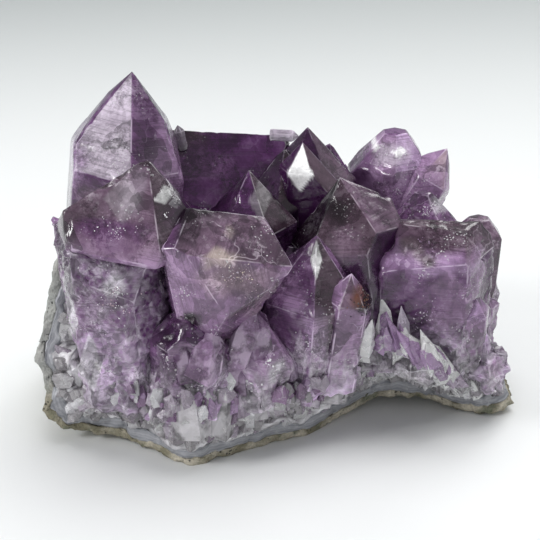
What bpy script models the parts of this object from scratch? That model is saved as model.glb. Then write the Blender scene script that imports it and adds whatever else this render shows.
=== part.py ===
"""Amethyst cluster: a broken piece of geode wall with its crystals.

The piece is built from the outside of the geode inwards. A thin basalt rind follows the curved
wall, a band of grey agate lines it, a bed of pale quartz grows from the agate, and a violet mass
and its separate amethyst points grow from the bed. X runs along the piece, -Y is its broken
front, and Z is up from the surface that it lies on.
"""

import math
from dataclasses import dataclass

import bmesh
import bpy
from mathutils import Matrix, Vector

MM = 0.001
OBJECT_NAME = "amethyst_cluster"

# Neighbouring pieces keep this much air between them.
GAP = 0.3

# Quartz keeps its angles whatever its size: each pyramid face leans this far from the long axis.
PYRAMID_NORMAL_TILT = math.radians(51.8)
FACES_AROUND = 6
BLANK_SIZE = 400
SNAP = 0.01
WELD = 0.02
FLAT_ANGLE = 0.2

RIND_THICKNESS = 2.2
AGATE_THICKNESS = 3.2
BED_THICKNESS = 12.0

WALL_ROWS = 27
WALL_COLUMNS = 11
WALL_BUMP = 0.7
# Three crossing waves, in radians per millimetre, that bump the wall along X, Y and Z.
WALL_WAVES = ((0.09, 0.21, 0.16), (0.17, 0.11, -0.19), (-0.14, 0.19, 0.08))
WALL_CUTTER_REACH = 40
SIDE_OVERRUN = 0.6
END_OVERRUN = 0.15
CHORD_ROWS = 3
# The wall's broken right end leans inwards over its first rows, so the piece tapers there.
END_LEAN = 1.0
END_LEAN_ROWS = 7
FLOOR_PATCH_DEPTH = 0.8

# The wall from its right end to the top of its left side: x, z, front edge y and back edge y.
WALL_STATIONS = (
    (82, 3, -8, 18),
    (74, 1, -12, 32),
    (63, 1, -9, 42),
    (52, 3, -5, 49),
    (42, 4, -4, 53),
    (33, 3, -5, 55),
    (23, 1, -12, 57),
    (9, 0, -25, 58),
    (-6, 0, -32, 57),
    (-18, 0, -39, 55),
    (-30, 0, -44, 53),
    (-42, 1, -36, 51),
    (-54, 2, -29, 47),
    (-66, 3, -27, 41),
    (-74, 7, -28, 35),
    (-78, 18, -26, 30),
    (-79, 32, -21, 26),
    (-77, 46, -16, 23),
    (-74, 57, -12, 20),
    (-70, 66, -9, 17),
)


@dataclass(frozen=True)
class Finish:
    """One material: its base colour, roughness and metallic value."""

    name: str
    colour: tuple
    roughness: float
    metallic: float = 0.0


BASALT = Finish("basalt_rind", (0.34, 0.31, 0.22), 0.9)
AGATE = Finish("grey_agate", (0.42, 0.44, 0.48), 0.35)
MILKY = Finish("milky_quartz", (0.66, 0.64, 0.68), 0.3)
CLEAR = Finish("clear_quartz", (0.80, 0.80, 0.84), 0.1)
VIOLET = Finish("violet_amethyst", (0.28, 0.17, 0.36), 0.12)
DEEP = Finish("deep_amethyst", (0.12, 0.05, 0.18), 0.1)
MASS = Finish("violet_mass", (0.20, 0.11, 0.28), 0.25)
PALE = Finish("pale_amethyst", (0.52, 0.42, 0.58), 0.2)


@dataclass(frozen=True)
class Point:
    """One quartz crystal: six prism sides under a six-faced pyramid, shortened by any breaks.

    Sizes are in millimetres. tip and axis place the crystal, and length runs from tip to root.
    roll is the bearing of its first face, with 0 facing -Y and 90 facing +X. girth is the
    distance from the axis to a prism side. sides multiplies it for each side, and caps moves each
    pyramid face away from the tip. Each break is a plane across the crystal: the bearing and the
    elevation that it faces, and its distance from the tip.
    """

    name: str
    finish: Finish
    tip: tuple
    axis: tuple
    roll: float
    girth: float
    length: float
    sides: tuple = (1, 1, 1, 1, 1, 1)
    caps: tuple = (0, 0, 0, 0, 0, 0)
    breaks: tuple = ()


# A crystal cuts the ones that come after it where they would meet.
POINTS = (
    Point(
        "front_left_point", VIOLET, (-41, -28, 101), (0.1, -0.12, 1), -10, 18.5, 27,
        sides=(1.1, 1, 1, 1, 1.2, 1.4),
        caps=(0, 0, 0, 0, 0, 15),
        breaks=((0, 90, -1.5),),
    ),
    Point(
        "tall_left_point", VIOLET, (-48, 8, 118), (0.12, 0, 1), -21, 18.5, 70,
        sides=(1.25, 1.2, 1, 1, 1, 0.95),
        breaks=((95, 17, 5), (-90, 38, 1.7)),
    ),
    Point(
        "front_big_point", PALE, (1, -40, 70), (0.9, -0.37, 0.23), -10, 16, 60,
        sides=(1.6, 1.4, 1.4, 1.2, 1.05, 1.28),
        caps=(0, 3, 3, 3, 8, 0),
        breaks=((-75, -10, 35), (-20, -8, 15)),
    ),
    Point(
        "rust_column", VIOLET, (23, -28, 62), (0.12, -0.1, 1), 10, 7, 60,
        sides=(1, 1.1, 1, 1, 1, 1),
    ),
    Point(
        "front_centre_point", VIOLET, (12, -21, 72), (0.05, -0.1, 1), 30, 16, 75,
    ),
    Point(
        "front_left_block", PALE, (-50, -26, 96), (0, -0.05, 1), -10, 17, 90,
        sides=(1.5, 1, 1, 1, 1.2, 1.15),
        caps=(4, 4, 4, 4, 10, 10),
        breaks=((4, 18, 7), (-6, -6, 22), (40, 80, -21.1)),
    ),
    Point(
        "centre_dark_point", DEEP, (20, -2, 85), (-0.12, 0.08, 1), -12, 17, 60,
        caps=(0, 12, 12, 0, 0, 0),
        breaks=((56, 54, 0),),
    ),
    Point(
        "right_front_foot", PALE, (45, -20, 35), (-0.1, -0.1, 1), 10, 7, 60,
    ),
    Point(
        "right_lower_column", PALE, (63, -16, 52), (0.05, -0.1, 1), 15, 7, 50,
    ),
    Point(
        "right_big_point", VIOLET, (53, -8, 74), (0, -0.05, 1), -5, 16, 60,
        sides=(1, 1, 1, 0.8, 1.2, 1.5),
        caps=(15, 6, 8, 0, 8, 15),
        breaks=((-15, 52, 0), (0, 85, -3)),
    ),
    Point(
        "dark_wedge_point", DEEP, (24, -14, 72), (-0.1, -0.1, 1), 20, 9, 50,
    ),
    Point(
        "front_left_foot", VIOLET, (-26, -38, 60), (0.1, -0.1, 1), 10, 13, 60,
        breaks=((0, 0, 9),),
    ),
    Point(
        "front_centre_foot", PALE, (-5, -34, 48), (0.1, -0.15, 1), -20, 10, 60,
    ),
    Point(
        "right_pale_foot", PALE, (69, -12, 34), (0.15, -0.1, 1), -10, 10, 60,
    ),
    Point(
        "mirror_facet_point", DEEP, (8, 16, 91), (0, 0, 1), -8, 7, 50,
        sides=(1, 2, 2, 1.5, 1, 1),
    ),
    Point(
        "back_mirror_point", DEEP, (10, 26, 93), (0, 0, 1), 0, 15, 60,
    ),
    Point(
        "centre_small_point", DEEP, (-10, 2, 86), (0, 0, 1), -5, 14, 50,
    ),
    Point(
        "back_ridge_point", DEEP, (-19, 32, 89), (0.05, 0, 1), 0, 20, 60,
        caps=(0, 14, 14, 0, 14, 14),
    ),
    Point(
        "ridge_side_point", DEEP, (2, 22, 87), (0, 0, 1), 20, 14, 50,
    ),
    Point(
        "back_middle_point", DEEP, (18, 34, 85), (0.15, 0, 1), -10, 14, 50,
    ),
    Point(
        "back_pale_point", PALE, (42, 42, 91), (0.05, 0, 1), 30, 12, 60,
        sides=(1, 0.78, 1, 1, 1.3, 1.1),
        breaks=((0, 90, -5),),
    ),
    Point(
        "back_right_point", PALE, (60, 38, 81), (0.6, 0, 1), 0, 9, 50,
        breaks=((90, 0, 1),),
    ),
    Point(
        "right_middle_point", VIOLET, (50, 18, 75), (0, 0, 1), 0, 13, 50,
        breaks=((0, 90, -3),),
    ),
    Point(
        "right_end_point", VIOLET, (68, 4, 72), (0.05, 0, 1), 30, 7.5, 60,
        sides=(1, 1, 1, 1, 1.5, 1.3),
        breaks=((0, 90, -4),),
    ),
    Point(
        "right_edge_column", VIOLET, (69, 0, 46), (0.05, 0, 1), 0, 6, 50,
    ),
    Point(
        "ridge_clear_shard", CLEAR, (-35, 28, 93), (-0.2, 0, 1), 0, 1.6, 9,
    ),
    Point(
        "ridge_clear_block", CLEAR, (7, 22, 91), (1, 0, -0.05), 0, 1.8, 10,
    ),
    Point(
        "back_left_point", VIOLET, (-62, 36, 80), (-0.35, 0.55, 1), 10, 13, 60,
    ),
    Point(
        "back_centre_left_point", VIOLET, (-34, 52, 78), (-0.1, 0.6, 1), -15, 15, 60,
    ),
    Point(
        "back_centre_point", VIOLET, (-4, 58, 72), (0.05, 0.7, 1), 20, 14, 60,
    ),
    Point(
        "back_centre_right_point", VIOLET, (25, 58, 68), (0.1, 0.7, 1), 5, 14, 60,
    ),
    Point(
        "back_right_low_point", VIOLET, (50, 54, 58), (0.25, 0.6, 1), -10, 13, 60,
    ),
    Point(
        "back_right_corner_point", VIOLET, (68, 40, 50), (0.6, 0.5, 1), 15, 12, 60,
    ),
    Point(
        "right_back_point", VIOLET, (74, 20, 50), (0.5, 0.15, 1), 0, 10, 60,
    ),
    Point(
        "back_low_left_point", VIOLET, (-50, 54, 48), (-0.3, 1, 0.6), 0, 13, 60,
    ),
    Point(
        "back_low_middle_point", PALE, (-20, 62, 46), (0, 1, 0.6), 20, 14, 60,
    ),
    Point(
        "back_low_centre_point", VIOLET, (9, 63, 42), (0.1, 1, 0.55), -10, 14, 60,
    ),
    Point(
        "back_low_right_point", PALE, (37, 61, 38), (0.2, 1, 0.6), 10, 13, 60,
    ),
)

# The violet mass that the points grow out of: its centre, then the planes that bound it, each
# given by the bearing and elevation that it faces and its distance from the centre.
MASS_CENTRE = (0, 12, 40)
MASS_PLANES = (
    (90, 78, 21),
    (15, 0, 24),
    (10, 45, 26),
    (180, 0, 32),
    (180, 45, 36),
    (-90, 10, 62),
    (-90, 45, 56),
    (90, 0, 66),
    (90, 45, 54),
    (0, -90, 38),
)


def clear_scene():
    """Remove whatever the scene holds before the model is built."""
    for thing in list(bpy.data.objects):
        bpy.data.objects.remove(thing, do_unlink=True)


def make_collection(name):
    """A collection linked to the scene."""
    collection = bpy.data.collections.new(name)
    bpy.context.scene.collection.children.link(collection)
    return collection


def make_material(finish):
    """A Principled material for one finish."""
    material = bpy.data.materials.new(finish.name)
    material.use_nodes = True
    shader = material.node_tree.nodes["Principled BSDF"]
    shader.inputs["Base Color"].default_value = (*finish.colour, 1)
    shader.inputs["Roughness"].default_value = finish.roughness
    shader.inputs["Metallic"].default_value = finish.metallic
    return material


def facing(bearing, elevation):
    """The direction that faces a compass bearing (0 is -Y, 90 is +X) at an elevation, in degrees."""
    turn = math.radians(bearing)
    rise = math.radians(elevation)
    level = math.cos(rise)
    return Vector((math.sin(turn) * level, -math.cos(turn) * level, math.sin(rise)))


def point_planes(point):
    """The planes that bound a crystal, as outward normals and their distances from its tip."""
    along = Vector(point.axis).normalized()
    front = Vector((0, -1, 0))
    front = (front - along * front.dot(along)).normalized()
    right = along.cross(front)
    planes = []
    for index in range(FACES_AROUND):
        turn = math.radians(point.roll + 360 * index / FACES_AROUND)
        outward = front * math.cos(turn) + right * math.sin(turn)
        leaning = outward * math.sin(PYRAMID_NORMAL_TILT) + along * math.cos(PYRAMID_NORMAL_TILT)
        planes.append((outward, point.girth * point.sides[index]))
        planes.append((leaning, point.caps[index]))
    planes.append((-along, point.length))
    for bearing, elevation, distance in point.breaks:
        planes.append((facing(bearing, elevation), distance))
    return planes


def faceted_mesh(name, planes, grow=0.0):
    """A closed mesh of the space behind every plane, each plane moved outwards by grow."""
    bm = bmesh.new()
    bmesh.ops.create_cube(bm, size=BLANK_SIZE * MM)
    for normal, distance in planes:
        everything = bm.verts[:] + bm.edges[:] + bm.faces[:]
        on_plane = normal * (distance + grow) * MM
        bmesh.ops.bisect_plane(
            bm,
            geom=everything,
            plane_co=on_plane,
            plane_no=normal,
            dist=SNAP * MM,
            clear_outer=True,
        )
        open_edges = [edge for edge in bm.edges if edge.is_boundary]
        if open_edges:
            bmesh.ops.holes_fill(bm, edges=open_edges, sides=0)
    bmesh.ops.recalc_face_normals(bm, faces=bm.faces[:])
    mesh = bpy.data.meshes.new(name)
    bm.to_mesh(mesh)
    bm.free()
    return mesh


def add_object(name, mesh, collection, place=(0, 0, 0)):
    """An object for a mesh, put at a place in millimetres and linked to a collection."""
    thing = bpy.data.objects.new(name, mesh)
    thing.location = Vector(place) * MM
    collection.objects.link(thing)
    return thing


def wall_curve():
    """Points along the wall's outside, from its right end to its left top, with inward directions.

    A Catmull-Rom curve runs through the stations. Each inward direction is square to a chord that
    spans several rows, so the layers' corner stays round however deep they lie.
    """
    last = len(WALL_STATIONS) - 1
    points = []
    for step in range(WALL_ROWS):
        at = last * step / (WALL_ROWS - 1)
        start = min(int(at), last - 1)
        t = at - start
        a, b, c, d = (Vector(WALL_STATIONS[min(max(start + k, 0), last)]) for k in (-1, 0, 1, 2))
        even = 2 * b + (c - a) * t
        curved = (2 * a - 5 * b + 4 * c - d) * t**2 + (3 * b - a - 3 * c + d) * t**3
        points.append((even + curved) / 2)
    curve = []
    for step, (x, z, front, back) in enumerate(points):
        before = points[max(step - CHORD_ROWS, 0)]
        after = points[min(step + CHORD_ROWS, WALL_ROWS - 1)]
        inward = Vector((after[1] - before[1], 0, before[0] - after[0])).normalized()
        inward.x -= END_LEAN * max(1 - step / END_LEAN_ROWS, 0)
        curve.append((x, z, front, back, inward))
    return curve


def wall_surface(curve, shares, depth):
    """Rows of points over the wall at a depth below its outside, each row from front to back.

    A share of 0 is the wall's front edge and 1 its back edge, and others lie past them. Points
    near the floor are pressed flat on it before they move inwards, which makes the resting face.
    """
    rows = []
    for x, z, front, back, inward in curve:
        row = []
        for share in shares:
            place = Vector((x, front + (back - front) * share, z))
            place += Vector([math.sin(place.dot(Vector(wave))) for wave in WALL_WAVES]) * WALL_BUMP
            if place.z < FLOOR_PATCH_DEPTH:
                place.z = 0
            row.append((place + inward * depth) * MM)
        rows.append(row)
    return rows


def shell_mesh(name, outer_rows, inner_rows):
    """A closed mesh between two surfaces of the wall, which have rows of the same length."""
    bm = bmesh.new()
    outer = [[bm.verts.new(place) for place in row] for row in outer_rows]
    inner = [[bm.verts.new(place) for place in row] for row in inner_rows]
    for grid in (outer, inner):
        for lower, upper in zip(grid, grid[1:]):
            for column in range(len(lower) - 1):
                bm.faces.new((lower[column], upper[column], upper[column + 1]))
                bm.faces.new((lower[column], upper[column + 1], lower[column + 1]))
    rims = []
    for grid in (outer, inner):
        front = [row[0] for row in grid]
        back = [row[-1] for row in reversed(grid)]
        rims.append(front + grid[-1][1:-1] + back + grid[0][-2:0:-1])
    ahead = [rim[1:] + rim[:1] for rim in rims]
    for corners in zip(rims[0], ahead[0], ahead[1], rims[1]):
        bm.faces.new(corners)
    bmesh.ops.recalc_face_normals(bm, faces=bm.faces[:])
    mesh = bpy.data.meshes.new(name)
    bm.to_mesh(mesh)
    bm.free()
    return mesh


def cut_by(thing, cutter):
    """Take a cutter's space out of an object."""
    cut = thing.modifiers.new(cutter.name, "BOOLEAN")
    cut.operation = "DIFFERENCE"
    cut.solver = "EXACT"
    cut.object = cutter


def box_corners(things):
    """The lowest and highest corners of the box around some objects, in metres."""
    corners = [vert.co + thing.location for thing in things for vert in thing.data.vertices]
    lowest = [min(corner[axis] for corner in corners) for axis in range(3)]
    highest = [max(corner[axis] for corner in corners) for axis in range(3)]
    return Vector(lowest), Vector(highest)


def boxes_meet(first, second):
    """Whether the boxes around two objects overlap."""
    low, high = box_corners([first])
    other_low, other_high = box_corners([second])
    return all(low[i] < other_high[i] and other_low[i] < high[i] for i in range(3))


def keep_largest_piece(thing):
    """Apply an object's cuts and keep its largest piece, without the slivers that cuts leave."""
    evaluated = thing.evaluated_get(bpy.context.evaluated_depsgraph_get())
    mesh = bpy.data.meshes.new_from_object(evaluated)
    bm = bmesh.new()
    bm.from_mesh(mesh)
    bmesh.ops.remove_doubles(bm, verts=bm.verts[:], dist=WELD * MM)
    unseen = set(bm.faces)
    pieces = []
    while unseen:
        spread = [unseen.pop()]
        piece = []
        while spread:
            face = spread.pop()
            piece.append(face)
            near = {other for edge in face.edges for other in edge.link_faces} & unseen
            unseen -= near
            spread.extend(near)
        pieces.append(piece)
    pieces.sort(key=lambda piece: sum(face.calc_area() for face in piece))
    crumbs = [face for piece in pieces[:-1] for face in piece]
    if crumbs:
        bmesh.ops.delete(bm, geom=crumbs, context="FACES")
    bmesh.ops.dissolve_limit(
        bm, angle_limit=math.radians(FLAT_ANGLE), verts=bm.verts[:], edges=bm.edges[:]
    )
    bm.to_mesh(mesh)
    bm.free()
    thing.modifiers.clear()
    thing.data = mesh


def run_past_ends(rows):
    """The same rows, with the first and last carried on a little past the wall's own ends."""
    first = [a + (a - b) * END_OVERRUN for a, b in zip(rows[0], rows[1])]
    last = [a + (a - b) * END_OVERRUN for a, b in zip(rows[-1], rows[-2])]
    return [first, *rows, last]


def build_wall(parts, cutters):
    """The rind, agate and quartz bed, and the cutter that keeps crystals inside them."""
    curve = wall_curve()
    shares = [column / (WALL_COLUMNS - 1) for column in range(WALL_COLUMNS)]
    depth = 0
    for name, finish, thickness in (
        ("rind", BASALT, RIND_THICKNESS),
        ("agate_band", AGATE, AGATE_THICKNESS),
        ("quartz_bed", MILKY, BED_THICKNESS),
    ):
        outer = wall_surface(curve, shares, depth)
        inner = wall_surface(curve, shares, depth + thickness)
        layer = add_object(name, shell_mesh(name, outer, inner), parts)
        layer.data.materials.append(make_material(finish))
        depth += thickness + GAP
    wide = [-SIDE_OVERRUN, *shares, 1 + SIDE_OVERRUN]
    outer = run_past_ends(wall_surface(curve, wide, -WALL_CUTTER_REACH))
    inner = run_past_ends(wall_surface(curve, wide, depth))
    return add_object("wall_cutter", shell_mesh("wall_cutter", outer, inner), cutters)


def build_mass(parts, cutters, wall_cutter):
    """The violet mass, and the cutter that keeps the points' roots clear of it."""
    planes = [(facing(bearing, elevation), distance) for bearing, elevation, distance in MASS_PLANES]
    mass = add_object("amethyst_mass", faceted_mesh("amethyst_mass", planes), parts, MASS_CENTRE)
    mass.data.materials.append(make_material(MASS))
    cut_by(mass, wall_cutter)
    return add_object("mass_cutter", faceted_mesh("mass_cutter", planes, GAP), cutters, MASS_CENTRE)


def build_points(parts, cutters, wall_cutter, mass_cutter):
    """The points, each cut by the wall, by the mass and by the points before it in the list."""
    finishes = {point.finish.name: point.finish for point in POINTS}
    materials = {name: make_material(finish) for name, finish in finishes.items()}
    earlier = [mass_cutter]
    for point in POINTS:
        planes = point_planes(point)
        crystal = add_object(point.name, faceted_mesh(point.name, planes), parts, point.tip)
        crystal.data.materials.append(materials[point.finish.name])
        for cutter in earlier:
            if boxes_meet(crystal, cutter):
                cut_by(crystal, cutter)
        cut_by(crystal, wall_cutter)
        cutter_name = point.name + "_cutter"
        cutter_mesh = faceted_mesh(cutter_name, planes, GAP)
        earlier.append(add_object(cutter_name, cutter_mesh, cutters, point.tip))


def centre_on_floor(things):
    """Move objects so that the box around them stands on the origin at the middle of its base."""
    low, high = box_corners(things)
    middle = (low + high) / 2
    for thing in things:
        thing.location -= Vector((middle.x, middle.y, low.z))


def main():
    """Build the cluster."""
    clear_scene()
    parts = make_collection(OBJECT_NAME)
    cutters = make_collection("cutters")
    wall_cutter = build_wall(parts, cutters)
    mass_cutter = build_mass(parts, cutters, wall_cutter)
    build_points(parts, cutters, wall_cutter, mass_cutter)
    for thing in parts.objects:
        if thing.modifiers:
            keep_largest_piece(thing)
    for cutter in cutters.objects:
        cutter.hide_render = True
        cutter.display_type = "WIRE"
    centre_on_floor(parts.objects)


main()
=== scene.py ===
"""The looks of the amethyst cluster: violet quartz points on quartz teeth, grey agate and rind.

Everything stands in the CAD model's frame, in metres. The sizes in the classes are millimetres.
"""

import logging
import math
from dataclasses import dataclass
from enum import Enum
from typing import Any

import bmesh
import bpy
import numpy as np
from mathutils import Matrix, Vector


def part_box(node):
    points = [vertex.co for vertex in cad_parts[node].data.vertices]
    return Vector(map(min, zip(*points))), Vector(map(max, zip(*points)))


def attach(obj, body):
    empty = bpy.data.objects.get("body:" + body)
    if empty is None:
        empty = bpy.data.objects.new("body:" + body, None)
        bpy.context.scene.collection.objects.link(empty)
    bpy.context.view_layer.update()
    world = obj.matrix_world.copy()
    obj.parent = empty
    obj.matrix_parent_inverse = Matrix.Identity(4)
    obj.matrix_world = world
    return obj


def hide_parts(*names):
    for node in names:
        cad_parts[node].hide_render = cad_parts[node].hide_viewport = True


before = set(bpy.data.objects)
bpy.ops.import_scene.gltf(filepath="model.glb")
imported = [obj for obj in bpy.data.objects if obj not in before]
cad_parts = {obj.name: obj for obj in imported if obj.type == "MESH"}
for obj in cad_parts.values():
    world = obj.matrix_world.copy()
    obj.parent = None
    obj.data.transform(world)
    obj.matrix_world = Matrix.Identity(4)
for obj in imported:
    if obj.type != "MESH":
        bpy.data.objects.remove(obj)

MM = 0.001
METRE = 1000.0
TINY = 1e-9
LOG = logging.getLogger("amethyst_cluster")
Array = np.ndarray


class Tone(Enum):
    """Colours seen in the stone, as linear red, green and blue."""

    INK = (0.010, 0.003, 0.009)
    DEEP = (0.046, 0.010, 0.054)
    PLUM = (0.100, 0.028, 0.118)
    VIOLET = (0.172, 0.080, 0.190)
    MAUVE = (0.290, 0.172, 0.312)
    LAVENDER = (0.430, 0.282, 0.480)
    ROSE = (0.460, 0.330, 0.400)
    SMOKE = (0.078, 0.044, 0.068)
    DUSK = (0.165, 0.098, 0.155)
    MIST = (0.500, 0.430, 0.520)
    FROST = (0.860, 0.850, 0.880)
    WHITE = (0.980, 0.980, 0.980)
    CREAM = (0.700, 0.600, 0.500)
    RUST = (0.160, 0.055, 0.020)
    OLIVE = (0.095, 0.080, 0.058)
    ASH = (0.460, 0.440, 0.460)

    @property
    def rgb(self) -> Array:
        """The colour as an array."""
        return np.array(self.value)


def palette(tones: tuple[Tone, ...]) -> Array:
    """Several tones as the rows of one array."""
    return np.array([tone.value for tone in tones])


# ---------------------------------------------------------------- surfaces

HASH_AXES = (374761393, 668265263, 1442695041)
HASH_SEED, HASH_MIX = 97531, 1274126177
FAR_CELLS = 9.0
CENTRE_STRAY = 0.45
WELD_DIGITS = 4


@dataclass(frozen=True)
class Grain:
    """Smooth three-dimensional noise that is the same on every run."""

    seed: int = 0

    def lattice(self, cells: Array) -> Array:
        """A number from -1 to 1 for each cell, from its three whole numbers mixed together.

        Args:
            cells: N by 3 whole numbers.

        Returns:
            N values.
        """
        mixed = cells @ np.array(HASH_AXES) + self.seed * HASH_SEED
        mixed = ((mixed ^ (mixed >> 13)) * HASH_MIX) & 0xFFFFFFFF
        return ((mixed ^ (mixed >> 16)) & 0xFFFF) / 32767.5 - 1

    def smooth(self, places: Array) -> Array:
        """Noise from -1 to 1: the eight corners around each place, blended by an eased share.

        Args:
            places: N by 3 positions, in cells.

        Returns:
            N values.
        """
        cells = np.floor(places).astype(np.int64)
        share = places - cells
        share = share * share * (3 - 2 * share)
        total = np.zeros(len(places))
        for corner in np.ndindex(2, 2, 2):
            weight = np.prod(np.where(np.array(corner) == 1, share, 1 - share), axis=1)
            total += weight * self.lattice(cells + np.array(corner))
        return total

    def fractal(self, places: Array, size: float, octaves: int = 3) -> Array:
        """A sum of noises, each half the size and half the strength of the one before.

        Args:
            places: N by 3 positions, in millimetres.
            size: size of the largest features, in millimetres.
            octaves: how many noises are added.

        Returns:
            N values, mostly from -1 to 1.
        """
        steps = range(octaves)
        return sum(self.smooth(places / size * 2**k + 17.3 * k) / 2**k for k in steps)

    def drift(self, places: Array, size: float, octaves: int = 3) -> Array:
        """Three separate noises, as an N by 3 push along X, Y and Z."""
        axes = [Grain(self.seed + 11 * k).fractal(places, size, octaves) for k in range(3)]
        return np.stack(axes, axis=1)


@dataclass(frozen=True)
class Rubble:
    """Stone broken into fused blocks: a cell around each scattered centre, with its own flat face."""

    size: float
    seed: int = 3

    def random(self, cells: Array, number: int) -> Array:
        """Three numbers from -1 to 1 for each cell."""
        return np.stack([Grain(self.seed + number + k).lattice(cells) for k in range(3)], axis=1)

    def blocks(self, places: Array) -> tuple[Array, Array, Array]:
        """The block that each place belongs to, from the nearest and second nearest centres.

        A block's height is its own level plus its own slope times the way from its centre.

        Args:
            places: N by 3 positions, in millimetres.

        Returns:
            N heights from about -1 to 1, N tones from -1 to 1, and N distances to the block's
            border, in millimetres.
        """
        scaled = places / self.size
        base = np.floor(scaled).astype(np.int64)
        first = np.full(len(places), FAR_CELLS)
        second = first.copy()
        away = np.zeros_like(scaled)
        owner = np.zeros_like(base)
        for step in np.ndindex(3, 3, 3):
            cell = base + np.array(step) - 1
            offset = scaled - (cell + 0.5 + CENTRE_STRAY * self.random(cell, 0))
            distance = np.linalg.norm(offset, axis=1)
            nearer = distance < first
            second = np.where(nearer, first, np.minimum(second, distance))
            first = np.where(nearer, distance, first)
            away[nearer] = offset[nearer]
            owner[nearer] = cell[nearer]
        slope = self.random(owner, 5)
        more = self.random(owner, 11)
        height = 0.9 * (away * slope).sum(axis=1) + 0.5 * more[:, 0]
        return height, more[:, 1], (second - first) * self.size / 2


class Skin:
    """Grids of points that meet at shared borders and close into one mesh."""

    def __init__(self) -> None:
        """Start with no grids."""
        self.points: list[Array] = []
        self.faces: list[Array] = []
        self.values: dict[str, list[Array]] = {}
        self.count = 0

    def add(self, points: Array, **values: Array) -> None:
        """Add one grid, with its values at each point.

        Each cell of four neighbours becomes two triangles.

        Args:
            points: rows by columns by 3, in millimetres.
            values: further arrays, rows by columns, or rows by columns by 3.
        """
        rows, columns = points.shape[:2]
        index = self.count + np.arange(rows * columns).reshape(rows, columns)
        a, b = index[:-1, :-1].ravel(), index[1:, :-1].ravel()
        c, d = index[1:, 1:].ravel(), index[:-1, 1:].ravel()
        self.faces += [np.stack([a, b, c], 1), np.stack([a, c, d], 1)]
        self.points.append(points.reshape(-1, 3))
        for name, value in values.items():
            self.values.setdefault(name, []).append(value.reshape(rows * columns, -1))
        self.count += rows * columns

    def weld(self) -> tuple[Array, Array, dict[str, Array]]:
        """Join points that coincide and drop the triangles that this closes up.

        Returns:
            The points, the triangles and the values at the points.
        """
        points = np.concatenate(self.points)
        keys = np.round(points, WELD_DIGITS)
        _, first, where = np.unique(keys, axis=0, return_index=True, return_inverse=True)
        faces = where.reshape(-1)[np.concatenate(self.faces)]
        a, b, c = faces.T
        faces = faces[(a != b) & (b != c) & (c != a)]
        values = {name: np.concatenate(parts)[first] for name, parts in self.values.items()}
        return points[first], faces, values


def make_piece(
    name: str, points: Array, faces: Array, values: dict[str, Array], smooth: bool = True
) -> bpy.types.Object:
    """A mesh object from arrays, with its values stored as point attributes.

    Args:
        name: the object's name.
        points: N by 3 positions, in millimetres.
        faces: M by 3 corner numbers, outward by the right-hand rule.
        values: N numbers or N colours for each attribute name.
        smooth: whether the faces shade smoothly.

    Returns:
        The object, linked to the scene.
    """
    mesh = bpy.data.meshes.new(name)
    mesh.vertices.add(len(points))
    mesh.vertices.foreach_set("co", (points * MM).ravel())
    mesh.loops.add(faces.size)
    mesh.loops.foreach_set("vertex_index", faces.astype(np.int32).ravel())
    mesh.polygons.add(len(faces))
    mesh.polygons.foreach_set("loop_start", np.arange(0, faces.size, 3, dtype=np.int32))
    mesh.update(calc_edges=True)
    bm = bmesh.new()
    bm.from_mesh(mesh)
    bmesh.ops.recalc_face_normals(bm, faces=bm.faces[:])
    bm.to_mesh(mesh)
    bm.free()
    mesh.polygons.foreach_set("use_smooth", np.full(len(mesh.polygons), smooth))
    for key, value in values.items():
        if value.shape[1] == 3:
            layer = mesh.attributes.new(key, "FLOAT_COLOR", "POINT")
            opaque = np.concatenate([value, np.ones((len(value), 1))], axis=1)
            layer.data.foreach_set("color", opaque.ravel())
        else:
            layer = mesh.attributes.new(key, "FLOAT", "POINT")
            layer.data.foreach_set("value", value.ravel())
    mesh.update()
    piece = bpy.data.objects.new(name, mesh)
    bpy.context.scene.collection.objects.link(piece)
    return piece


def dress(piece: bpy.types.Object, material: bpy.types.Material, node: str = "") -> None:
    """Give a piece its material and body, hide the CAD node that it stands for, and report it.

    Args:
        piece: the finished mesh.
        material: its material.
        node: the CAD node that it replaces, if any.
    """
    piece.data.materials.append(material)
    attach(piece, "root")
    if node:
        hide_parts(node)
    LOG.info("%s: %d triangles", piece.name, len(piece.data.polygons))


def point_data(thing: bpy.types.Object, field: str) -> Array:
    """One vector for each point of an object's mesh: its place (co) or its normal.

    Args:
        thing: the object.
        field: co or normal.

    Returns:
        N by 3 vectors.
    """
    flat = np.zeros(len(thing.data.vertices) * 3)
    thing.data.vertices.foreach_get(field, flat)
    return flat.reshape(-1, 3)


def ease(value: Array, low: float, high: float) -> Array:
    """Rise smoothly from 0 at low to 1 at high."""
    share = np.clip((value - low) / (high - low), 0, 1)
    return share * share * (3 - 2 * share)


def blend(first: Array, second: Array, share: Array) -> Array:
    """The first, moved towards the second by a share from 0 to 1."""
    return first + (second - first) * share


def unit(vectors: Array) -> Array:
    """Vectors scaled to a length of 1."""
    return vectors / (np.linalg.norm(vectors, axis=-1, keepdims=True) + TINY)


def frames_on(normals: Array, dice: np.random.Generator) -> Array:
    """N frames of three directions: two at random, square to each normal, and the normal."""
    side = unit(np.cross(normals, dice.normal(size=normals.shape)))
    return np.stack([side, np.cross(normals, side), normals], axis=1)


def scattered(name: str, points: Array, faces: Array, values: dict[str, Array]) -> bpy.types.Object:
    """One flat-faced piece of many copies of a small shape.

    Args:
        name: the piece's name.
        points: copies by corners by 3 positions.
        faces: one copy's triangles.
        values: one number or colour for each copy, by attribute name.

    Returns:
        The piece.
    """
    copies, corners = points.shape[:2]
    starts = corners * np.arange(copies)[:, None, None]
    spread = {key: np.repeat(value, corners, axis=0) for key, value in values.items()}
    return make_piece(name, points.reshape(-1, 3), (faces + starts).reshape(-1, 3), spread, smooth=False)


# ---------------------------------------------------------------- shader maths


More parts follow.
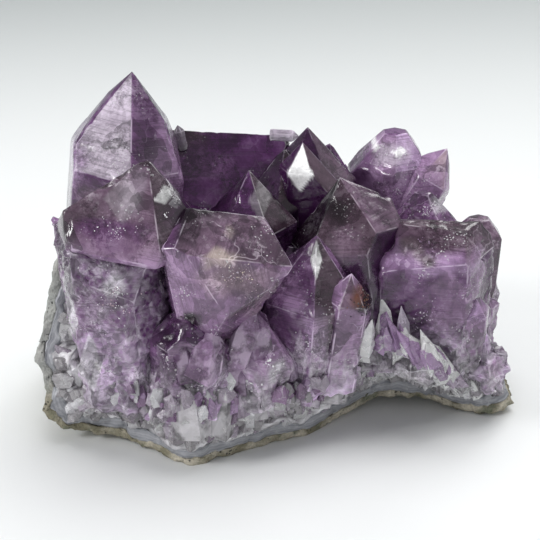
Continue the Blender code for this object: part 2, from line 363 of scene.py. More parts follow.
class Wire:
    """A shader socket that joins into sums and products, adding Math nodes as it goes."""

    def __init__(self, bench: "Bench", socket: Any) -> None:
        """Hold one output socket of a bench's node tree."""
        self.bench = bench
        self.socket = socket

    def join(self, operation: str, first: Any, second: Any) -> "Wire":
        """A Math node on two wires or numbers."""
        return self.bench.node("ShaderNodeMath", {"operation": operation}, {0: first, 1: second})

    def __add__(self, other: Any) -> "Wire":
        """Sum."""
        return self.join("ADD", self, other)

    def __radd__(self, other: Any) -> "Wire":
        """Sum, reflected."""
        return self.join("ADD", other, self)

    def __sub__(self, other: Any) -> "Wire":
        """Difference."""
        return self.join("SUBTRACT", self, other)

    def __rsub__(self, other: Any) -> "Wire":
        """Difference, reflected."""
        return self.join("SUBTRACT", other, self)

    def __mul__(self, other: Any) -> "Wire":
        """Product."""
        return self.join("MULTIPLY", self, other)

    def __rmul__(self, other: Any) -> "Wire":
        """Product, reflected."""
        return self.join("MULTIPLY", other, self)

    def rise(self, low: float, high: float) -> "Wire":
        """0 below low, 1 above high and an eased ramp between, or the reverse if low is higher.

        Args:
            low: where the ramp is 0.
            high: where it is 1.

        Returns:
            The ramp.
        """
        start, end = (0.0, 1.0) if low < high else (1.0, 0.0)
        feeds = {
            "Value": self, "From Min": min(low, high), "From Max": max(low, high),
            "To Min": start, "To Max": end,
        }
        return self.bench.node("ShaderNodeMapRange", {"interpolation_type": "SMOOTHSTEP"}, feeds)


class Bench:
    """One material's node tree, and the few calls that fill it."""

    def __init__(self, name: str) -> None:
        """Start a material with a Principled shader.

        Args:
            name: the material's name.
        """
        self.material = bpy.data.materials.new(name)
        self.material.use_nodes = True
        self.tree = self.material.node_tree
        self.shader = self.tree.nodes["Principled BSDF"]
        self.place = self.node("ShaderNodeTexCoord", {}, {}, "Object")

    def node(
        self, kind: str, settings: dict[str, Any], feeds: dict[Any, Any], output: Any = 0
    ) -> Wire:
        """Add a node.

        Args:
            kind: the node's type.
            settings: properties to set first.
            feeds: values or wires by socket name or number.
            output: the output socket to hold.

        Returns:
            The output socket as a wire.
        """
        made = self.tree.nodes.new(kind)
        for key, value in settings.items():
            setattr(made, key, value)
        for key, value in feeds.items():
            self.feed(made.inputs[key], value)
        return Wire(self, made.outputs[output])

    def feed(self, socket: Any, value: Any) -> None:
        """Link a wire to a socket, or set the socket's own value.

        Args:
            socket: the input socket.
            value: a wire, number, colour or vector.
        """
        if isinstance(value, Wire):
            self.tree.links.new(value.socket, socket)
        else:
            socket.default_value = value

    def value(self, name: str) -> Wire:
        """A number stored on the piece's points."""
        return self.node("ShaderNodeAttribute", {"attribute_name": name}, {}, "Fac")

    def colour(self, name: str) -> Wire:
        """A colour stored on the piece's points."""
        return self.node("ShaderNodeAttribute", {"attribute_name": name}, {}, "Color")

    def vector(self, operation: str, first: Any, second: Any) -> Wire:
        """A Vector Math node."""
        return self.node("ShaderNodeVectorMath", {"operation": operation}, {0: first, 1: second})

    def scaled(self, vector: Wire, size: Any) -> Wire:
        """A vector or colour times a number."""
        feeds = {0: vector, "Scale": size}
        return self.node("ShaderNodeVectorMath", {"operation": "SCALE"}, feeds)

    def noise(
        self, size: float, detail: float = 3.0, place: Wire | None = None, **more: float
    ) -> Wire:
        """Noise with features of a size in millimetres."""
        feeds = {"Vector": place or self.place, "Scale": 1 / (size * MM), "Detail": detail, **more}
        return self.node("ShaderNodeTexNoise", {}, feeds)

    def cells(self, size: float, feature: str, place: Wire | None = None) -> Wire:
        """Voronoi cells of a size in millimetres: distance to a centre (F1) or to an edge."""
        feeds = {"Vector": place or self.place, "Scale": 1 / (size * MM)}
        return self.node("ShaderNodeTexVoronoi", {"feature": feature}, feeds, "Distance")

    def patches(self, size: float, place: Wire) -> Wire:
        """Angular patches of a size in millimetres, each with its own number from 0 to 1.

        Args:
            size: the patches' size.
            place: the positions to read.

        Returns:
            The patches' numbers.
        """
        settings = {"feature": "F1", "distance": "MANHATTAN"}
        feeds = {"Vector": place, "Scale": 1 / (size * MM)}
        cell = self.node("ShaderNodeTexVoronoi", settings, feeds, "Color")
        return self.node("ShaderNodeSeparateXYZ", {}, {0: cell})

    def warped(self, size: float, reach: float) -> Wire:
        """Positions pushed about by noise of one size, as far as reach, both in millimetres.

        Args:
            size: size of the noise.
            reach: the furthest push.

        Returns:
            The pushed positions.
        """
        feeds = {"Vector": self.place, "Scale": 1 / (size * MM), "Detail": 2.0}
        push = self.node("ShaderNodeTexNoise", {}, feeds, "Color")
        push = self.vector("SUBTRACT", push, (0.5, 0.5, 0.5))
        return self.vector("ADD", self.place, self.scaled(push, reach * 2 * MM))

    def mix(self, first: Any, second: Any, share: Any) -> Wire:
        """A colour between two, by a share from 0 to 1."""
        feeds = {0: share, 6: paint(first), 7: paint(second)}
        return self.node("ShaderNodeMix", {"data_type": "RGBA"}, feeds, 2)

    def finish(
        self, colour: Wire, rough: Wire | float, height: Wire, depth: float, **settings: float
    ) -> None:
        """Feed the shader its colour, roughness and bump, and set its constants.

        Args:
            colour: base colour.
            rough: roughness.
            height: bump height, from 0 to 1.
            depth: how high a bump of 1 stands, in millimetres.
            settings: the shader's own sockets, by their names with _ for each space.
        """
        bump = {"Height": height, "Distance": depth * MM, "Strength": 1.0}
        self.feed(self.shader.inputs["Base Color"], colour)
        self.feed(self.shader.inputs["Roughness"], rough)
        self.feed(self.shader.inputs["Normal"], self.node("ShaderNodeBump", {}, bump))
        for key, value in settings.items():
            self.shader.inputs[key.replace("_", " ")].default_value = value


def paint(colour: Any) -> Any:
    """A wire as it is, or a tone as the four numbers of a colour socket."""
    return (*colour.value, 1.0) if isinstance(colour, Tone) else colour


@dataclass(frozen=True)
class Amethyst:
    """Glassy violet quartz: clouds, veils, growth lines and glints over each crystal's own tint.

    Each share is how strongly that feature shows, and clear is how much light passes through. The glints
    and the edge lines are painted highlights.
    """

    name: str
    slot: str
    cloud: float = 0.5
    facet: float = 0.55
    veil: float = 0.55
    lines: float = 0.6
    # painted highlight: how strongly the white glint spots show
    painted_glint: float = 0.8
    rough: float = 0.08
    clear: float = 0.0
    # painted highlight: how strongly the pale lines along the edges show
    edges: float = 0.55
    haze: float = 0.7

    def make(self) -> bpy.types.Material:
        """Build the material.

        Returns:
            The material.
        """
        bench = Bench(self.name)
        tint = bench.colour("tint")
        edge = bench.value("edge")
        grown = bench.value("grown")
        bent = bench.warped(16, 4)

        # broken planes, clouds and grit
        wide = bench.patches(15, bent)
        narrow = bench.patches(5.5, bench.warped(7, 2))
        cloud = bench.noise(10, 6, bent, Roughness=0.62)
        fine = bench.noise(1.5, 4, bent, Roughness=0.7)
        inner = 0.6 * wide + 0.4 * narrow
        swirl = cloud.rise(0.30, 0.70)
        shade = (1 - self.facet + 2 * self.facet * inner) * (1 - self.cloud + 2 * self.cloud * swirl)
        grit = bench.noise(0.55, 3, bent, Roughness=0.8)
        grainy = 0.25 + 0.75 * bench.noise(13, 3).rise(0.45, 0.62)
        shade = shade * (1 + grainy * (fine.rise(0.34, 0.66) - 0.5) * 0.8)
        shade = shade * (1 + grainy * (grit.rise(0.36, 0.64) - 0.5) * 0.35)
        milk = bench.mix(Tone.FROST, bench.scaled(tint, 3.0), 0.5)
        glow = bench.node("ShaderNodeRGBToBW", {}, {0: tint}).rise(0.0, 0.13)
        veil = self.veil * (0.2 + 0.8 * glow)
        colour = bench.scaled(tint, shade.join("MINIMUM", shade, 1.12))
        mist = bench.mix(bench.scaled(tint, 2.0), Tone.FROST, 0.12)
        colour = bench.mix(colour, mist, shade.rise(1.0, 2.0) * self.haze)

        # dark and pale flakes
        shadow_flake = bench.patches(4.0, bench.warped(6, 3)).rise(0.80, 0.84)
        shadow_here = bench.noise(12, 3).rise(0.48, 0.60) * self.facet
        colour = bench.mix(colour, bench.scaled(tint, 0.3), shadow_flake * shadow_here)
        flake = bench.patches(2.2, bench.warped(3, 1.5)).rise(0.80, 0.86)
        flake_here = bench.noise(11, 5, Roughness=0.7).rise(0.53, 0.62) * veil
        colour = bench.mix(colour, milk, flake * flake_here * 0.7)

        # growth lines square to the crystal's axis
        slant = {"X": grown * 1.3, "Y": grown * 0.3, "Z": grown * 1.1}
        across = bench.node("ShaderNodeCombineXYZ", {}, slant)
        streak = bench.vector("ADD", bench.scaled(bent, 60.0), across)
        line = bench.noise(METRE, 6, streak, Roughness=0.75)
        line_here = bench.noise(15, 2).rise(0.38, 0.52) * self.lines
        colour = bench.mix(colour, bench.scaled(tint, 0.35), line.rise(0.53, 0.58) * line_here * 0.75)
        colour = bench.mix(colour, milk, line.rise(0.40, 0.34) * line_here * (0.08 + 0.30 * glow))

        # feathery veils and cracks, and painted glints: small spots of painted highlight
        feather = bench.vector("MULTIPLY", bench.warped(5, 3), (420.0, 420.0, 150.0))
        feather = bench.noise(METRE, 6, feather, Roughness=0.8)
        feather_here = bench.noise(13, 5, Roughness=0.65).rise(0.52, 0.66)
        feather_mark = feather.rise(0.50, 0.64) * feather_here * veil
        colour = bench.mix(colour, milk, feather_mark)

        crack = bench.cells(12, "DISTANCE_TO_EDGE", bench.warped(9, 5)).rise(0.020, 0.0)
        crack_here = bench.noise(19, 3).rise(0.55, 0.66)
        colour = bench.mix(colour, milk, crack * crack_here * veil * 0.8)

        # painted highlight: small spots mixed towards white, standing in for glints of reflected light
        painted_spark = bench.cells(1.0, "F1", bench.warped(1.5, 0.5)).rise(0.33, 0.18)
        painted_spark_zone = bench.noise(9, 5, Roughness=0.65).rise(0.55, 0.66)
        painted_glint = painted_spark * painted_spark_zone * self.painted_glint
        colour = bench.mix(colour, Tone.FROST, painted_glint)

        # painted highlights along the edges: a pale line of milk colour at each edge
        rim = edge.rise(0.32, 0.05) * bench.noise(6, 4).rise(0.44, 0.60)
        colour = bench.mix(colour, milk, rim * self.edges)

        rough = self.rough + 0.25 * bench.noise(8, 3).rise(0.55, 0.75) + 0.3 * feather_mark
        height = 0.5 * line * line_here + 0.3 * fine + 0.5 * painted_glint + 0.7 * cloud + 0.4 * feather_mark
        bench.finish(
            colour, rough, height, 0.2,
            IOR=1.55, Coat_Weight=0.15, Coat_Roughness=0.03, Transmission_Weight=self.clear,
        )
        return bench.material


@dataclass(frozen=True)
class Quartz:
    """Pale and smoky quartz with white fractures, for the teeth and the bed."""

    name: str
    clear: float = 0.0

    def make(self) -> bpy.types.Material:
        """Build the material.

        Returns:
            The material.
        """
        bench = Bench(self.name)
        tint = bench.colour("tint")
        bent = bench.warped(5, 2.5)
        cloud = bench.noise(4, 5, bent, Roughness=0.65)
        colour = bench.scaled(tint, 0.60 + 0.9 * cloud)
        crack = bench.cells(4, "DISTANCE_TO_EDGE", bent).rise(0.07, 0.0)
        white = crack * bench.noise(9, 3).rise(0.48, 0.66)
        colour = bench.mix(colour, Tone.FROST, white * 0.7)
        dark = bench.noise(3.2, 4, bench.warped(3, 2)).rise(0.56, 0.70)
        colour = bench.mix(colour, Tone.SMOKE, dark * 0.25)
        rough = 0.14 + 0.4 * bench.noise(3, 3).rise(0.45, 0.7)
        height = cloud + 0.6 * bench.noise(0.8, 3)
        bench.finish(
            colour, rough, height, 0.35,
            IOR=1.55, Coat_Weight=0.3, Coat_Roughness=0.06, Transmission_Weight=self.clear,
        )
        return bench.material


@dataclass(frozen=True)
class Agate:
    """Waxy grey-blue agate with bands that follow the wall."""

    name: str

    def make(self) -> bpy.types.Material:
        """Build the material.

        Returns:
            The material.
        """
        bench = Bench(self.name)
        depth = bench.value("depth")
        wavy = depth + 1.1 * bench.noise(9, 3)
        band = bench.noise(METRE, 2, bench.node("ShaderNodeCombineXYZ", {}, {"X": wavy * 1.7}))
        colour = bench.mix((0.21, 0.22, 0.245, 1), (0.42, 0.42, 0.45, 1), band.rise(0.30, 0.70))
        cloud = bench.noise(5, 5, bench.warped(4, 2))
        colour = bench.scaled(colour, 0.6 + 0.8 * cloud)
        milk = bench.noise(2.2, 4).rise(0.56, 0.72)
        colour = bench.mix(colour, (0.60, 0.60, 0.62, 1), milk * 0.45)
        rough = 0.28 + 0.3 * bench.noise(4, 3)
        bench.finish(colour, rough, cloud + 0.5 * bench.noise(0.9, 3), 0.4, IOR=1.54, Coat_Weight=0.15)
        return bench.material


@dataclass(frozen=True)
class Rind:
    """Dull tan and green-grey basalt crust with pits and dark grains, greyer up the wall."""

    name: str

    def make(self) -> bpy.types.Material:
        """Build the material.

        Returns:
            The material.
        """
        bench = Bench(self.name)
        patch = bench.noise(8, 5, bench.warped(6, 3))
        colour = bench.mix((0.24, 0.22, 0.15, 1), (0.60, 0.55, 0.45, 1), patch.rise(0.38, 0.62))
        green = bench.noise(5, 4).rise(0.52, 0.66)
        colour = bench.mix(colour, (0.13, 0.15, 0.10, 1), green * 0.7)
        height = bench.node("ShaderNodeSeparateXYZ", {}, {0: bench.place}, "Z")
        colour = bench.mix(colour, (0.42, 0.43, 0.42, 1), height.rise(0.012, 0.024) * 0.85)
        grain = bench.noise(0.7, 4)
        colour = bench.scaled(colour, 0.5 + grain)
        speck = bench.cells(1.4, "F1", bench.warped(2, 0.8)).rise(0.30, 0.18)
        speck = speck * bench.noise(6, 2).rise(0.5, 0.6)
        colour = bench.mix(colour, (0.025, 0.025, 0.02, 1), speck * 0.85)
        relief = 0.8 * patch + grain - 0.5 * speck
        bench.finish(colour, 0.78 + 0.15 * grain, relief, 0.7)
        return bench.material


@dataclass(frozen=True)
class Backdrop:
    """The pale surface that the cluster stands on, with painted shade that greys it towards the back."""

    name: str

    def make(self) -> bpy.types.Material:
        """Build the material.

        Returns:
            The material.
        """
        bench = Bench(self.name)
        behind = bench.node("ShaderNodeSeparateXYZ", {}, {0: bench.place}, "Y")
        colour = bench.mix((0.84, 0.85, 0.85, 1), (0.81, 0.825, 0.825, 1), bench.noise(300, 2))
        # painted shade: the surface turns grey towards the back, standing in for the light falling off
        # there
        colour = bench.mix(colour, (0.44, 0.465, 0.465, 1), behind.rise(0.10, 0.75))
        bench.finish(colour, 0.6, bench.noise(40, 2), 0.01)
        return bench.material


# ---------------------------------------------------------------- crystals

NEAR_CORNERS = 0.3
FLAT_ANGLE = 2.5
BEVEL_GAPS = (0.9, 0.35)
RIM_WIDTH, RIM_DEPTH = 0.35, 0.16
CHIP_WIDTH = 1.4
GROWTH_STEP = 5.5
FOOT_BREAKAGE = 2.0
FOOT_HEIGHTS = (20, 46)
LARGE_BLOCKS, SMALL_BLOCKS = Rubble(6.5), Rubble(2.4)
SEED_STEP = 101


@dataclass(frozen=True)
class Stain:
    """A patch of another tone inside a crystal, soft and round or a crisp kite.

    across and up are shares of the crystal's box, from its left and from its foot. wide and tall
    are the patch's half sizes in millimetres.
    """

    tone: Tone
    across: float
    up: float
    wide: float
    tall: float
    strength: float = 0.9
    kite: bool = False


@dataclass(frozen=True)
class Face:
    """The tone of the faces turned one way: a bearing (0 is -Y, 90 is +X) and a rise, in degrees."""

    bearing: float
    rise: float
    tone: Tone

    def direction(self) -> Array:
        """The way it faces.

        Returns:
            A direction of length 1.
        """
        turn, rise = math.radians(self.bearing), math.radians(self.rise)
        level = math.cos(rise)
        return np.array([math.sin(turn) * level, -math.cos(turn) * level, math.sin(rise)])


@dataclass(frozen=True)
class Crystal:
    """One crystal, grown over the faces of its CAD node.

    body is the tone of every face that no entry of faces is close to, and root is the tone that
    they fade to at the foot, by the height fade. axis is the way it grew, which its growth lines
    cross. spacing is the grid's. In millimetres, chip is how deep its edges are chipped, swell how
    far its faces swell, grow how far it stands out from the node, and broken how far the blocks of
    broken stone stand out.
    """

    node: str
    finish: Amethyst
    body: Tone
    root: Tone = Tone.MAUVE
    faces: tuple[Face, ...] = ()
    fade: float = 0.4
    stains: tuple[Stain, ...] = ()
    axis: tuple[float, float, float] = (0.0, 0.0, 1.0)
    chip: float = 0.9
    spacing: float = 1.3
    swell: float = 0.22
    grow: float = 0.15
    broken: float = 0.0

    def breakage(self, points: Array) -> Array:
        """How far the blocks of broken stone stand out, in millimetres: most at the piece's foot."""
        return self.broken + FOOT_BREAKAGE * (1 - ease(points[:, 2], *FOOT_HEIGHTS))

    def grown(self, points: Array) -> Array:
        """How far along the crystal's axis each point lies."""
        return points @ (np.array(self.axis) / np.linalg.norm(self.axis))

    def facets(self) -> list[Array]:
        """The flat faces of the hull around the CAD node, as rings of corners seen from outside.

        Returns:
            One array of corners for each face.
        """
        bm = bmesh.new()
        for place in point_data(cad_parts[self.node], "co") / MM:
            bm.verts.new(place)
        bmesh.ops.remove_doubles(bm, verts=bm.verts[:], dist=NEAR_CORNERS)
        hull = bmesh.ops.convex_hull(bm, input=bm.verts[:])
        unused = {v for v in hull["geom_interior"] + hull["geom_unused"] if v.is_valid}
        bmesh.ops.delete(bm, geom=list(unused), context="VERTS")
        flat = math.radians(FLAT_ANGLE)
        bmesh.ops.dissolve_limit(bm, angle_limit=flat, verts=bm.verts[:], edges=bm.edges[:])
        bmesh.ops.recalc_face_normals(bm, faces=bm.faces[:])
        rings = [np.array([v.co for v in face.verts]) for face in bm.faces]
        bm.free()
        return rings

    def facet_grid(self, ring: Array, skin: Skin) -> None:
        """Lay one face as a fan of rings: the middle plus a share of the way to the border.

        The last two rings lie close to the border, so that the edge shades as a narrow bevel.

        Args:
            ring: the face's corners.
            skin: where the grid goes.
        """
        ahead = np.roll(ring, -1, axis=0)
        lengths = np.linalg.norm(ahead - ring, axis=1)
        parts = []
        for start, end, length in zip(ring, ahead, lengths):
            share = np.arange(max(1, math.ceil(length / self.spacing)))
            share = share / len(share)
            parts.append(start + (end - start) * share[:, None])
        border = np.concatenate([*parts, ring[:1]])
        middle = ring.mean(axis=0)
        normal = np.cross(ring - middle, ahead - middle).sum(axis=0)
        area = np.linalg.norm(normal) / 2
        normal /= 2 * area + TINY
        reach = 2 * area / lengths.sum()
        near = [max(1 - gap / max(reach, 0.5), 0.6) for gap in BEVEL_GAPS]
        inner = np.linspace(0, near[0], max(2, math.ceil(2 * reach / self.spacing)))
        shares = np.array([*inner, near[1], 1.0])
        points = middle + (border - middle) * shares[:, None, None]
        inward = unit(np.cross(normal, ahead - ring))
        gaps = np.einsum("rcek,ek->rce", points[:, :, None] - ring, inward)
        edge = np.clip(gaps.min(axis=2), 0, None)
        skin.add(points, edge=edge, normal=np.broadcast_to(normal, points.shape))

    def shaped(self, points: Array, normal: Array, edge: Array, seed: int) -> Array:
        """Move the flat faces into natural ones.

        Each face swells and steps by noise, which fades out at its edges. The edges are pulled
        towards the crystal's middle, a little everywhere and further where noise makes a chip.

        Args:
            points: N by 3 positions.
            normal: N by 3 directions out of the faces.
            edge: N distances to the nearest edge.
            seed: the noise's seed.

        Returns:
            N by 3 positions.
        """
        away = ease(edge, 0.0, 2.5)
        along = self.grown(points) + 2.2 * Grain(seed + 1).fractal(points, 12, 2)
        along /= GROWTH_STEP
        step = np.floor(along) + ease(along % 1, 0.0, 0.12) - along
        rise = self.swell * (Grain(seed).fractal(points, 9, 3) + 0.625 * step)
        inward = unit(points.mean(axis=0) - points)
        rim = RIM_DEPTH * np.exp(-((edge / RIM_WIDTH) ** 2))
        flaw = Grain(seed + 2).fractal(points, 5.5, 3)
        chip = self.chip * ease(flaw, 0.3, 0.9) * np.exp(-((edge / CHIP_WIDTH) ** 2))
        block = LARGE_BLOCKS.blocks(points)[0] + 0.4 * SMALL_BLOCKS.blocks(points)[0]
        lift = normal * (rise * away + self.grow + block * self.breakage(points))[:, None]
        return points + lift + inward * (rim + chip)[:, None]

    def tinted(self, points: Array, normal: Array, seed: int) -> Array:
        """The local colour: the faces' tones, the fade to the root, and then the stains.

        Args:
            points: N by 3 positions.
            normal: N by 3 directions out of the faces.
            seed: the noise's seed.

        Returns:
            N by 3 colours.
        """
        colour = np.tile(self.body.rgb, (len(points), 1))
        for face in self.faces:
            alike = normal @ face.direction()
            colour = blend(colour, face.tone.rgb, ease(alike, 0.86, 0.96)[:, None])
        low, high = points.min(axis=0), points.max(axis=0)
        size = high - low
        bent = points + 2.5 * Grain(seed + 5).drift(points, 8, 3)
        height = (bent[:, 2] - low[2]) / size[2]
        colour = blend(colour, self.root.rgb, 1 - ease(height, 0.0, self.fade)[:, None])
        for stain in self.stains:
            seen = points if stain.kite else bent
            across = (seen[:, 0] - low[0] - stain.across * size[0]) / stain.wide
            up = (seen[:, 2] - low[2] - stain.up * size[2]) / stain.tall
            inside = 1 - ease(np.hypot(across, up), 0.45, 1.3)
            if stain.kite:
                inside = 1 - ease(abs(across) + abs(up), 0.9, 1.05)
            colour = blend(colour, stain.tone.rgb, (stain.strength * inside)[:, None])
        for rubble, strength in ((LARGE_BLOCKS, 0.45), (SMALL_BLOCKS, 0.35)):
            _, tone, border = rubble.blocks(points)
            broken = np.clip(self.breakage(points) / 1.5, 0.12, 1)[:, None]
            colour = colour * (1 + strength * tone[:, None] * broken)
            white = (1 - ease(border, 0.1, 0.5))[:, None] * np.clip(broken - 0.2, 0, 1) * 0.35
            colour = blend(colour, Tone.FROST.rgb, white)
        return np.clip(colour, 0, 1)

    def build(self, seed: int) -> bpy.types.Object:
        """Build the crystal around its CAD node.

        Args:
            seed: the seed of its noise.

        Returns:
            The piece.
        """
        skin = Skin()
        for ring in self.facets():
            self.facet_grid(ring, skin)
        points, faces, values = skin.weld()
        normal, edge = values["normal"], values["edge"]
        tint = self.tinted(points, normal, seed)
        kept = {"tint": tint, "edge": edge, "grown": self.grown(points)[:, None]}
        moved = self.shaped(points, normal, edge[:, 0], seed)
        return make_piece(self.node + "_grown", moved, faces, kept)


